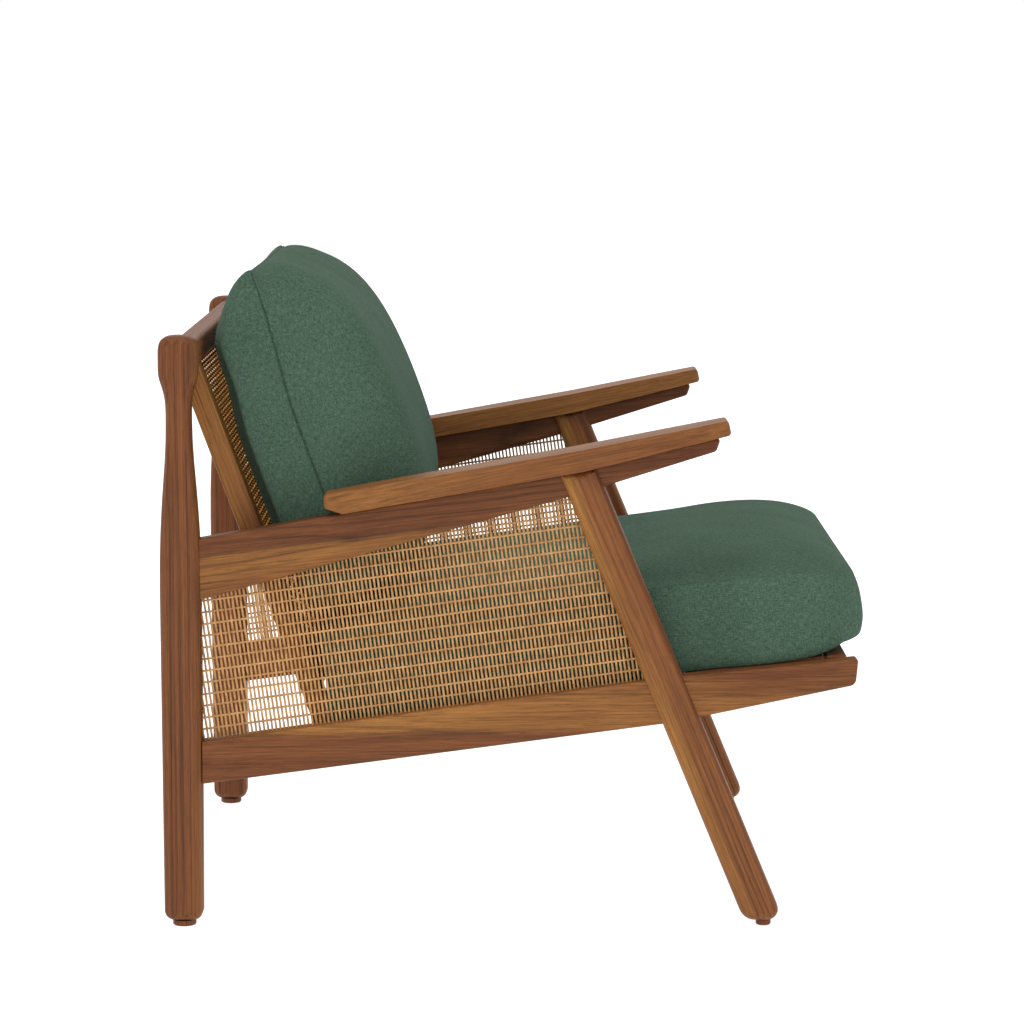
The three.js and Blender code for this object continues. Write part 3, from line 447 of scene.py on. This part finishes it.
print("sandpaper breaks most edges by", BROKEN_EDGE / MM, "mm")

# %% Legs, rails and armrests
for side in ("right", "left"):
    sanded(f"{side}_rear_leg", f"{side}_rear_leg_sanded", upright_teak)
    sanded(f"{side}_front_leg", f"{side}_front_leg_sanded", raked_teak)
    sanded(f"{side}_seat_rail", f"{side}_seat_rail_sanded", seat_rail_teak)
    sanded(f"{side}_arm_rail", f"{side}_arm_rail_sanded", arm_rail_teak)
    sanded(f"{side}_armrest", f"{side}_armrest_sanded", armrest_teak, edge=2.5 * MM)
    sanded(f"{side}_back_stile", f"{side}_back_stile_sanded", stile_teak)
    for end in ("rear", "front"):
        glide = f"{side}_{end}_foot_glide"
        turned_glide = f"{side}_{end}_glide_turned"
        sanded(glide, turned_glide, upright_teak, edge=0.5 * MM)
for rail in ("front_cross_rail", "rear_cross_rail", "crest_rail"):
    sanded(rail, f"{rail}_sanded", crossing_teak)
sanded("lower_back_rail", "lower_back_rail_sanded", support_teak)

hidden_wood = [
    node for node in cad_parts.values()
    if not node.hide_render and "cushion" not in node.name and "cane" not in node.name
]
for node in hidden_wood:
    node.data.materials.clear()
    node.data.materials.append(support_teak)
print(len(hidden_wood), "dowels, cleats and slats keep their own shapes")

# %% [markdown]
# The cane is a plain weave of thin splints. The close ones run square to the seat rail, the
# wide-set ones along it, and each passes over one and under the next. Split cane is patchy
# from splint to splint, so its colour comes from one coarse and one fine noise. The back is
# only seen at a glancing angle, and it gets no gloss there.

# %% Cane finish


def cane_finish(name, pale, deep, gloss):
    material, tree, shader = principled(name)
    place = add_node(tree, "ShaderNodeTexCoord").outputs["Object"]
    patches = stretched_noise(tree, place, (90, 90, 90), 3).outputs["Fac"]
    strands = stretched_noise(tree, place, (700, 700, 160), 2).outputs["Fac"]
    tone = arithmetic(tree, "ADD", product(tree, patches, 0.5), product(tree, strands, 0.5))
    colour = blend_colours(tree, "MIX", spread(tree, tone, 0.38, 0.62), deep, pale)
    feed(tree, shader, "Base Color", colour)
    shader.inputs["Roughness"].default_value = 0.6
    shader.inputs["Specular IOR Level"].default_value = gloss
    bumped(tree, shader, strands, 0.3, 0.3 * MM)
    return material


side_cane_finish = cane_finish("side_cane", (0.60, 0.335, 0.14, 1), (0.40, 0.205, 0.078, 1), 0.1)
# The back cane is painted lighter than the side cane: painted light for cane in the cushion's shade.
back_cane_painted_light = cane_finish("back_cane", (0.74, 0.40, 0.14, 1), (0.50, 0.25, 0.08, 1), 0.0)
print("two cane finishes")

# %% [markdown]
# A splint is a long strip whose height follows a cosine, so two neighbours are half a wave
# apart. The whole mat is woven flat, laid in its plane, and then trimmed along the grooves
# of the frame. Weaving it as real strips gives the holes and the shadows of the cane, which
# a picture of cane on a flat board can't do in a low view.

# %% One splint


def splint(mesh, length, steps, pitch, phase, along, place, width, thickness, rise):
    """One woven splint at place on the other axis; its wave turns over at each crossing."""
    strip = bmesh.new()
    bmesh.ops.create_grid(strip, x_segments=steps, y_segments=1, size=0.5)
    for corner in strip.verts:
        run = corner.co.x * length
        lift = rise * math.cos(math.pi * run / pitch + math.pi * phase)
        wide = corner.co.y * width
        corner.co = (run, place + wide, lift) if along else (place + wide, run, lift)
    bmesh.ops.recalc_face_normals(strip, faces=strip.faces)
    bmesh.ops.solidify(strip, geom=list(strip.faces), thickness=thickness)
    bmesh.ops.translate(strip, verts=strip.verts, vec=(0, 0, -thickness / 2))
    data = mesh_data(strip, "splint")
    mesh.from_mesh(data)
    bpy.data.meshes.remove(data)


print("splints are bent over and under each other")

# %% Weaving a mat


def woven_mat(length, height, pitches, widths, rises, thickness):
    """Close splints run up, wide-set ones along; the mat lies in X-Y around the origin. The
    pairs of pitches, widths and rises give the close splints first."""
    mat = bmesh.new()
    close_pitch, wide_pitch = pitches
    half_close = math.ceil(length / close_pitch / 2) + 2
    half_wide = math.ceil(height / wide_pitch / 2) + 2
    run_up = 2 * half_wide * wide_pitch
    run_along = 2 * half_close * close_pitch
    for i in range(-half_close, half_close + 1):
        place = i * close_pitch
        splint(
            mat, run_up, 8 * half_wide, wide_pitch, i, False, place, widths[0], thickness, rises[0],
        )
    for j in range(-half_wide, half_wide + 1):
        place = j * wide_pitch
        splint(
            mat, run_along, 4 * half_close, close_pitch, j + 1, True, place, widths[1], thickness,
            rises[1],
        )
    return mat


print("mats are woven flat, around the origin")

# %% Trimming a mat


def cut_away(mat, point, outward):
    """Cuts off what lies beyond the plane through point; gives the edges of the cut."""
    result = bmesh.ops.bisect_plane(
        mat, geom=mat.verts[:] + mat.edges[:] + mat.faces[:], dist=0.000001,
        plane_co=point, plane_no=outward, clear_outer=True,
    )
    return [item for item in result["geom_cut"] if isinstance(item, bmesh.types.BMEdge)]


def finished_mat(mat, name, finish, node):
    for face in mat.faces:
        face.smooth = True
    data = mesh_data(mat, name)
    piece = in_scene(name, data)
    data.materials.append(finish)
    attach(piece, "frame")
    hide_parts(node)
    print(name, len(data.polygons), "faces")


print("mats are trimmed by planes")

# %% [markdown]
# The side panels fill the four-cornered space between both legs and both rails. They could
# be woven to that shape, but a larger mat that is cut along four planes is simpler, and its
# splints end wherever the cut meets them, as in real cane. The corners lie inside the
# grooves, so the cut ends are hidden in the wood. Places in this view were drawn before the
# model was centred over its own box, so TO_CENTRE moves each of them along.

# %% Side panels
SEAT_SLOPE = math.radians(7.906)
TO_CENTRE = -2.13 * MM
SIDE_CORNERS = [
    (-0.3695 + TO_CENTRE, 0.2193),
    (0.1635 + TO_CENTRE, 0.2938),
    (0.0700 + TO_CENTRE, 0.5210),
    (-0.3695 + TO_CENTRE, 0.3905),
]
SIDE_PLANE = 0.353
SIDE_MIDDLE = (-0.11, 0.37)
FIRST_ROW_PLACE = -1.5 * MM

for side, y in (("right", -SIDE_PLANE), ("left", SIDE_PLANE)):
    mat = woven_mat(
        length=0.60, height=0.36, pitches=(4.8 * MM, 13.8 * MM), widths=(2.4 * MM, 2.2 * MM),
        rises=(1.0 * MM, 0.5 * MM), thickness=1.3 * MM,
    )
    bmesh.ops.translate(mat, verts=mat.verts, vec=(0, FIRST_ROW_PLACE, 0))
    upright = Matrix.Rotation(math.radians(90), 4, "X")
    sloped = Matrix.Rotation(-SEAT_SLOPE, 4, "Y")
    middle = Matrix.Translation((SIDE_MIDDLE[0], y, SIDE_MIDDLE[1]))
    bmesh.ops.transform(mat, matrix=middle @ sloped @ upright, verts=mat.verts)
    for i, (x, z) in enumerate(SIDE_CORNERS):
        next_x, next_z = SIDE_CORNERS[(i + 1) % len(SIDE_CORNERS)]
        rims = cut_away(mat, (x, 0, z), Vector((next_z - z, 0, -(next_x - x))))
        bmesh.ops.holes_fill(mat, edges=rims, sides=8)
    finished_mat(mat, f"{side}_side_cane_woven", side_cane_finish, f"{side}_side_cane")

# %% [markdown]
# The back panel leans back between the stiles. It is woven and cut like the sides, and two
# turns lay it in its plane. Its splints are a little wider and set closer than in the sides,
# so that no daylight shows through it in the low side view.

# %% Back panel
RECLINE = math.radians(20.3)
BACK_FOOT = Vector((-0.2376 + TO_CENTRE, 0, 0.2357))
HALF_CANE_HEIGHT = 0.196

mat = woven_mat(
    length=0.42, height=0.56, pitches=(4.7 * MM, 11.4 * MM), widths=(2.7 * MM, 2.4 * MM),
    rises=(0.8 * MM, 0.2 * MM), thickness=1.6 * MM,
)
low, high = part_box("back_cane")
for outward in (1, -1):
    cut_away(mat, (0, outward * high.y, 0), (0, outward, 0))
leaning = Matrix.Rotation(-RECLINE, 4, "Y")
stand = Matrix.Rotation(math.radians(-90), 4, "Y")
centre = Vector(((low.x + high.x) / 2, 0, (low.z + high.z) / 2))
bmesh.ops.transform(mat, matrix=Matrix.Translation(centre) @ leaning @ stand, verts=mat.verts)
up_the_back = Vector((-math.sin(RECLINE), 0, math.cos(RECLINE)))
cut_away(mat, centre + up_the_back * HALF_CANE_HEIGHT, up_the_back)
cut_away(mat, centre - up_the_back * HALF_CANE_HEIGHT, -up_the_back)
finished_mat(mat, "back_cane_woven", back_cane_painted_light, "back_cane")

# %% [markdown]
# The cloth is a plain woven upholstery in a muted green. Up close, each thread is a little
# lighter or darker than the next, so the surface looks flecked in two directions. A checker
# could draw every thread, but none can be told apart from a step away, and two noises that
# are drawn out along the warp and the weft give the same flecks. The pattern runs on a flat
# map of each panel, so it follows the cloth and not the room. A painted shadow, kept in the
# mesh's own attribute, darkens the cloth in the drawn-in seams, where shade falls in the groove.

# %% Weave of the cloth
CLOTH_LIGHT = (0.093, 0.153, 0.105, 1)
CLOTH_DEEP = (0.038, 0.071, 0.050, 1)
# The seam colour is a painted shadow: the shade that falls in the seam grooves.
CLOTH_SEAM_SHADOW = (0.01, 0.02, 0.014, 1)


def woven_cloth():
    inputs = [
        ("Vector", "NodeSocketVector", None),
        ("Light", "NodeSocketColor", CLOTH_LIGHT),
        ("Deep", "NodeSocketColor", CLOTH_DEEP),
    ]
    outputs = [("Color", "NodeSocketColor"), ("Height", "NodeSocketFloat")]
    group, given, out = new_group("woven_cloth", inputs, outputs)
    place, light, deep = given.outputs[:3]
    warp = stretched_noise(group, place, (950, 150, 1), 1, 0.4).outputs["Fac"]
    weft = stretched_noise(group, place, (150, 950, 1), 1, 0.4).outputs["Fac"]
    patches = stretched_noise(group, place, (14, 14, 1), 3).outputs["Fac"]
    threads = arithmetic(group, "MAXIMUM", warp, weft)
    drift = spread(group, patches, 0.3, 0.7, -0.08, 0.08)
    tone = arithmetic(group, "ADD", spread(group, threads, 0.42, 0.74), drift)
    feed(group, out, "Color", blend_colours(group, "MIX", tone, deep, light))
    feed(group, out, "Height", threads)
    return group


WOVEN_CLOTH = woven_cloth()
print("woven cloth", len(WOVEN_CLOTH.nodes), "nodes")

# %% Green cloth
green_cloth, cloth_tree, cloth_shader = principled("green_cloth")
flat_map = add_node(cloth_tree, "ShaderNodeUVMap", uv_map="panels")
weave = add_node(cloth_tree, "ShaderNodeGroup", node_tree=WOVEN_CLOTH)
feed(cloth_tree, weave, "Vector", flat_map.outputs["UV"])
# Painted shadow: the seam attribute darkens the weave towards the seam colour in the grooves.
in_seam = add_node(cloth_tree, "ShaderNodeAttribute", attribute_name="painted_seam_shadow")
seam_shadow_share = product(cloth_tree, in_seam.outputs["Fac"], 0.5)
shaded = blend_colours(cloth_tree, "MIX", seam_shadow_share, weave.outputs["Color"], CLOTH_SEAM_SHADOW)
feed(cloth_tree, cloth_shader, "Base Color", shaded)
bumped(cloth_tree, cloth_shader, weave.outputs["Height"], 0.5, 0.8 * MM)
cloth_shader.inputs["Roughness"].default_value = 0.9
cloth_shader.inputs["Specular IOR Level"].default_value = 0.06
print("green cloth", len(cloth_tree.nodes), "nodes")

# %% [markdown]
# A boxed cushion has two large panels and a band between them, sewn together in two seams.
# It starts as a cube that is cut into rows, with narrow rows beside the seams, where the
# form turns sharply. Each corner of the mesh knows its place as three shares from -1 to 1,
# and a shape function turns those shares into the swollen form.

# %% Rows of a cushion
ROW_SPACING = 16 * MM
SEAM_STEPS = [1.5 * MM, 3 * MM, 5 * MM, 8 * MM]
BAND_STEPS = [1.5 * MM, 3 * MM, 5 * MM]


def rows_between(length, fine):
    """Shares from -1 to 1 for the rows of a panel: fine steps by the seams, even ones between."""
    half = length / 2
    start = half - sum(fine)
    count = max(1, round(2 * start / ROW_SPACING))
    edges = []
    reach = half
    for step in fine:
        reach -= step
        edges.append(reach / half)
    middle = [(-start + 2 * start * i / count) / half for i in range(1, count)]
    return sorted([-share for share in edges] + middle + edges)


def cut_cube(rows):
    """A cube from -1 to 1 with a row of edges at each share given for its three directions."""
    mesh = bmesh.new()
    bmesh.ops.create_cube(mesh, size=2)
    for axis, shares in enumerate(rows):
        facing = Vector((0, 0, 0))
        facing[axis] = 1
        for share in shares:
            bmesh.ops.bisect_plane(
                mesh, geom=mesh.verts[:] + mesh.edges[:] + mesh.faces[:],
                dist=0.0001, plane_co=facing * share, plane_no=facing,
            )
    return mesh


print("rows of the cushions are", ROW_SPACING / MM, "mm apart")

# %% Rounding


def round_corner(x, y, half_x, half_y, radius):
    """Moves a point of a rectangle's corner square onto the quarter circle that rounds it."""
    over_x = abs(x) - (half_x - radius)
    over_y = abs(y) - (half_y - radius)
    if over_x <= 0 or over_y <= 0:
        return x, y
    pull = max(over_x, over_y) / math.hypot(over_x, over_y)
    return (
        math.copysign(half_x - radius + over_x * pull, x),
        math.copysign(half_y - radius + over_y * pull, y),
    )


def smooth_step(low, high, value):
    t = min(1.0, max(0.0, (value - low) / (high - low)))
    return t * t * (3 - 2 * t)


print("halfway, a smooth step is at", smooth_step(0, 1, 0.5))

# %% [markdown]
# The seat cushion is a slab on the sloping slats, square at the rear and well rounded at the
# front. Its top is crowned and falls towards the front edge. Ahead of the front legs it
# widens over the rails, and its underside steps up there, so that it lies on them. It could
# be pushed into shape by hand, but here each bulge and fall is worked out from one named
# size, so that any of them can be set against the real cushion and changed by itself.

# %% Form of the seat cushion
SEAT_START = Vector((-0.365 + TO_CENTRE, 0, 0.223))
SEAT_REAR = 149 * MM
SEAT_FRONT = 801 * MM
SEAT_BASE = -3.4 * MM
SEAT_BOXING = 101 * MM
SEAT_CROWN = 25 * MM
SEAT_HALF_MM = 327
SEAT_FLARE_MM = 19
REAR_CORNER_MM = 15
FRONT_CORNER_MM = 88
FRONT_FALL_MM = 11
FRONT_LIP_FALL_MM = 6
SEAT_BELLY_LONG = 0.012
SEAT_BELLY_WIDE = 0.014
RAIL_EDGES_MM = (333, 341)
TOP_SETBACK = 5 * MM
FOOT_SETBACK = 9 * MM
FRONT_LIFT = 9 * MM
RAIL_LIFT = 4 * MM


def seat_shape(a, b, c):
    """a runs from the rear to the front, b across and c up, in the plane of the sloping seat."""
    half_length = (SEAT_FRONT - SEAT_REAR) / 2
    half_width = (SEAT_HALF_MM + SEAT_FLARE_MM * smooth_step(0.38, 0.60, a)) * MM
    radius = (REAR_CORNER_MM if a < 0 else FRONT_CORNER_MM) * MM
    x, y = round_corner(a * half_length, b * half_width, half_length, half_width, radius)
    rim = max(abs(a), abs(b))
    belly = math.sqrt(max(0.0, 1 - c * c))
    x *= 1 + SEAT_BELLY_LONG * belly * rim ** 4
    y *= 1 + SEAT_BELLY_WIDE * belly * rim ** 4
    ahead = max(0.0, a)
    nose = ahead ** 8
    x -= TOP_SETBACK * nose * max(0.0, c) ** 2 + FOOT_SETBACK * nose * smooth_step(0.3, 1.0, -c)
    dome = (1 - abs(a) ** (6 - 3 * ahead)) ** 0.7 * (1 - abs(b) ** 2.4)
    fall = (FRONT_FALL_MM * ahead ** 6 + FRONT_LIP_FALL_MM * ahead ** 16) * MM
    top = SEAT_BOXING + SEAT_CROWN * dome - fall
    over_rail = smooth_step(*RAIL_EDGES_MM, abs(y) / MM) * (1 - smooth_step(0.30, 0.45, a))
    base = SEAT_BASE + FRONT_LIFT * smooth_step(0.72, 1.0, a) + RAIL_LIFT * over_rail
    return Vector((x + (SEAT_REAR + SEAT_FRONT) / 2, y, base + (c + 1) / 2 * (top - base)))


print("seat cushion", (SEAT_FRONT - SEAT_REAR) / MM, "mm long")

# %% [markdown]
# The back cushion is nearly flat behind and deeply crowned in front. A crown's section is a
# rounded curve, steep at the seam. The mesh rows step evenly along that curve, because rows
# that step evenly across it leave one long face on the steep part, which then shows a valley.

# %% Section of a crown
CROWN_STEPS = 240


def crown_section(width, rise, power, root):
    """A crown's section, told in even steps of its length: a function from the share (1 at the
    edge, 0 in the middle) to the share across and the share of the rise."""
    points = []
    for i in range(CROWN_STEPS + 1):
        angle = math.pi / 2 * i / CROWN_STEPS
        across = math.sin(math.pi / 2 - angle)
        points.append((across ** (2 / power), math.sin(angle) ** (2 * root)))
    lengths = [0.0]
    for (x0, z0), (x1, z1) in zip(points, points[1:]):
        lengths.append(lengths[-1] + math.hypot((x1 - x0) * width, (z1 - z0) * rise))

    def at(share):
        aim = (1 - abs(share)) * lengths[-1]
        i = min(bisect.bisect_right(lengths, aim), CROWN_STEPS)
        part = (aim - lengths[i - 1]) / (lengths[i] - lengths[i - 1])
        x0, z0 = points[i - 1]
        x1, z1 = points[i]
        return math.copysign(x0 + part * (x1 - x0), share), z0 + part * (z1 - z0)

    return at


print("a crown's section has", CROWN_STEPS, "steps")

# %% Form of the back cushion
BACK_TOP = 532 * MM
BACK_HALF = 309 * MM
BACK_REST = 26.4 * MM
SEAM_REAR = 17 * MM
SEAM_FRONT = 77 * MM
SEAM_REAR_LEAN = 7 * MM
SEAM_FRONT_LEAN = 16 * MM
BACK_CROWN = 123 * MM
BACK_TOP_FALL = 66 * MM
BACK_CORNER = 20 * MM
BACK_BELLY = 0.008
REAR_TUCK = 0.008
LIP_RISE = 55 * MM
LIP_OUT = 0.007
LIP_UP = 0.024
HALF_CROWN_HEIGHT = 200 * MM

across_section = crown_section(BACK_HALF, BACK_CROWN, 12, 0.3)
upper_section = crown_section(HALF_CROWN_HEIGHT, BACK_CROWN, 2.35, 0.57)
lower_section = crown_section(HALF_CROWN_HEIGHT, BACK_CROWN, 2.8, 0.55)


def back_bottom(depth):
    """The lower edge rises backwards, along the top of the seat cushion."""
    return (130 - (depth / MM - 25) * 0.22) * MM


def back_shape(a, b, c):
    """a runs across, b up and c from the rear to the front, in the plane of the reclined back."""
    span = (c + 1) / 2
    seam_front = SEAM_FRONT + SEAM_FRONT_LEAN * smooth_step(0.1, 1.0, b)
    seam_rear = SEAM_REAR + SEAM_REAR_LEAN * smooth_step(0.25, 0.7, b)
    depth = BACK_REST + seam_rear + (seam_front - seam_rear) * span
    behind = 1 - span
    top = BACK_TOP - BACK_TOP_FALL * behind * behind
    rim = max(abs(a), abs(b))
    belly = math.sqrt(max(0.0, 1 - c * c))
    lip = 0
    if c >= 1:
        side, side_rise = across_section(a)
        level, level_rise = (upper_section if b > 0 else lower_section)(b)
        a += (side - a) * level_rise
        b += (level - b) * side_rise
        rise = BACK_CROWN * side_rise * level_rise
        lip = math.sin(math.pi * min(1, rise / LIP_RISE))
        depth += rise
    if c <= -1:
        depth -= SEAM_REAR * (1 - a * a) * (1 - b * b)
    bottom = back_bottom(depth)
    half_height = (top - bottom) / 2
    y, z = round_corner(a * BACK_HALF, b * half_height, BACK_HALF, half_height, BACK_CORNER)
    outwards = 1 + BACK_BELLY * belly * rim ** 4 + LIP_OUT * lip * rim ** 6
    outwards -= REAR_TUCK * smooth_step(0.5, 1, -c)
    upwards = outwards + LIP_UP * lip * max(0.0, b) ** 3
    return Vector((depth, y * outwards, (top + bottom) / 2 + z * upwards))


print("back cushion", BACK_TOP / MM, "mm up the back, crowned by", BACK_CROWN / MM, "mm")

# %% [markdown]
# A filled cover is tight, and a short cloth simulation gives it that: with no gravity and
# some pressure, it swells for twenty frames. No point may go farther than its share of a few
# millimetres, so the cushions keep the sizes that the chair leaves them. The seams are drawn
# in afterwards, so that they stay crisp.

# %% Swelling
SWELLING_FRAMES = 20
PRESSURE = 3.0
LARGEST_MOVE = 6 * MM


def swollen(cushion, looseness):
    """Blows the cover up as cloth, with no point moving farther than its share of the limit."""
    cloth = cushion.modifiers.new("swelling", "CLOTH")
    cloth.settings.quality = 5
    cloth.settings.mass = 0.3
    cloth.settings.tension_stiffness = 12
    cloth.settings.compression_stiffness = 12
    cloth.settings.shear_stiffness = 5
    cloth.settings.bending_stiffness = 0.4
    cloth.settings.use_pressure = True
    cloth.settings.uniform_pressure_force = PRESSURE
    cloth.settings.shrink_min = -0.015
    cloth.settings.effector_weights.gravity = 0
    cloth.collision_settings.use_collision = False
    scene = bpy.context.scene
    for step in range(1, SWELLING_FRAMES + 1):
        scene.frame_set(step)
    settled = cushion.evaluated_get(bpy.context.evaluated_depsgraph_get()).to_mesh()
    moves = [after.co - before.co for after, before in zip(settled.vertices, cushion.data.vertices)]
    cushion.modifiers.remove(cloth)
    for corner, move, loose in zip(cushion.data.vertices, moves, looseness):
        if move.length > 0:
            corner.co += move * (loose * LARGEST_MOVE * math.tanh(move.length / LARGEST_MOVE) / move.length)
    scene.frame_set(1)


print("covers swell by up to", LARGEST_MOVE / MM, "mm")

# %% Seams and maps


def sewn(cushion, seam_shares, depth, shading):
    """Draws a seam in: each point sinks along its own normal and takes a painted shadow for its groove."""
    normals = [corner.normal.copy() for corner in cushion.data.vertices]
    shade = cushion.data.attributes.get("painted_seam_shadow")
    if not shade:
        shade = cushion.data.attributes.new("painted_seam_shadow", "FLOAT", "POINT")
    for index, share in seam_shares.items():
        cushion.data.vertices[index].co -= normals[index] * depth * share
        shade.data[index].value = shading * share


def flat_maps(mesh):
    """A map in metres for the weave: each face takes the two axes that it faces least."""
    layer = mesh.loops.layers.uv.new("panels")
    for face in mesh.faces:
        facing = [abs(value) for value in face.normal]
        main = facing.index(max(facing))
        axes = [axis for axis in range(3) if axis != main]
        for loop in face.loops:
            loop[layer].uv = (loop.vert.co[axes[0]], loop.vert.co[axes[1]])


print("seams are drawn in along each point's own normal")

# %% [markdown]
# Both cushions are made in the same way, so one function sews them and takes what differs.
# The seat cushion rests on the slats, so its underside may not swell, and its near seam fades
# towards the front, where the cover is pulled tight. The back cushion swells all round.

# %% Boxed cushions
# Each seam also gets a painted shadow; the seat's lower seam gets it without sinking at all.
SHOWN_SEAM_DEPTH = 3 * MM
LOWER_SEAM_DEPTH = 1.2 * MM
LOWER_SEAM_SHADOW = 0.3
FADED_SEAM_SHADOW = 0.3


def boxed_cushion(name, shape, rows, place, node, body, resting, fades):
    """resting is 1 where the underside stays put, fades is 1 where the shown seam dies away."""
    mesh = cut_cube(rows)
    mesh.verts.ensure_lookup_table()
    looseness = [1 - resting * smooth_step(0.2, 0.9, -corner.co.z) for corner in mesh.verts]
    rims = [corner for corner in mesh.verts if max(abs(corner.co.x), abs(corner.co.y)) > 0.9999]
    shown_seam = {
        corner.index: 1 - fades * smooth_step(-0.2, 0.75, corner.co.x)
        for corner in rims if corner.co.z > 0.9999
    }
    lower_seam = {corner.index: 1 for corner in rims if corner.co.z < -0.9999}
    for corner in mesh.verts:
        corner.co = shape(*corner.co)
    bmesh.ops.recalc_face_normals(mesh, faces=mesh.faces)
    flat_maps(mesh)
    bmesh.ops.transform(mesh, matrix=place, verts=mesh.verts)
    for face in mesh.faces:
        face.smooth = True
    data = mesh_data(mesh, name)
    cushion = in_scene(name, data)
    swollen(cushion, looseness)
    sewn(cushion, shown_seam, SHOWN_SEAM_DEPTH, 1 - FADED_SEAM_SHADOW * fades)
    sewn(cushion, lower_seam, LOWER_SEAM_DEPTH * (1 - resting), LOWER_SEAM_SHADOW)
    round_off = cushion.modifiers.new("round_off", "SUBSURF")
    round_off.levels = 1
    round_off.render_levels = 1
    data.materials.append(green_cloth)
    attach(cushion, body)
    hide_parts(node)
    print(name, len(data.polygons), "faces")


print("the shown seams sink", SHOWN_SEAM_DEPTH / MM, "mm")

# %% Seat cushion and back cushion
SEAT_ACROSS = 660 * MM
BACK_ACROSS = 2 * (BACK_HALF + 0.8 * BACK_CROWN)
BACK_UP = 530 * MM

seat_rows = [
    rows_between(SEAT_FRONT - SEAT_REAR, SEAM_STEPS),
    rows_between(SEAT_ACROSS, SEAM_STEPS),
    rows_between(SEAT_BOXING, BAND_STEPS),
]
back_rows = [
    rows_between(BACK_ACROSS, SEAM_STEPS),
    rows_between(BACK_UP, SEAM_STEPS),
    rows_between(SEAM_FRONT - SEAM_REAR, BAND_STEPS),
]
seat_place = Matrix.Translation(SEAT_START) @ Matrix.Rotation(-SEAT_SLOPE, 4, "Y")
back_place = Matrix.Translation(BACK_FOOT) @ Matrix.Rotation(-RECLINE, 4, "Y")
boxed_cushion(
    "seat_pad_sewn", seat_shape, seat_rows, seat_place, "seat_cushion", "seat_pad",
    resting=1, fades=1,
)
boxed_cushion(
    "back_pad_sewn", back_shape, back_rows, back_place, "back_cushion", "back_pad",
    resting=0, fades=0,
)
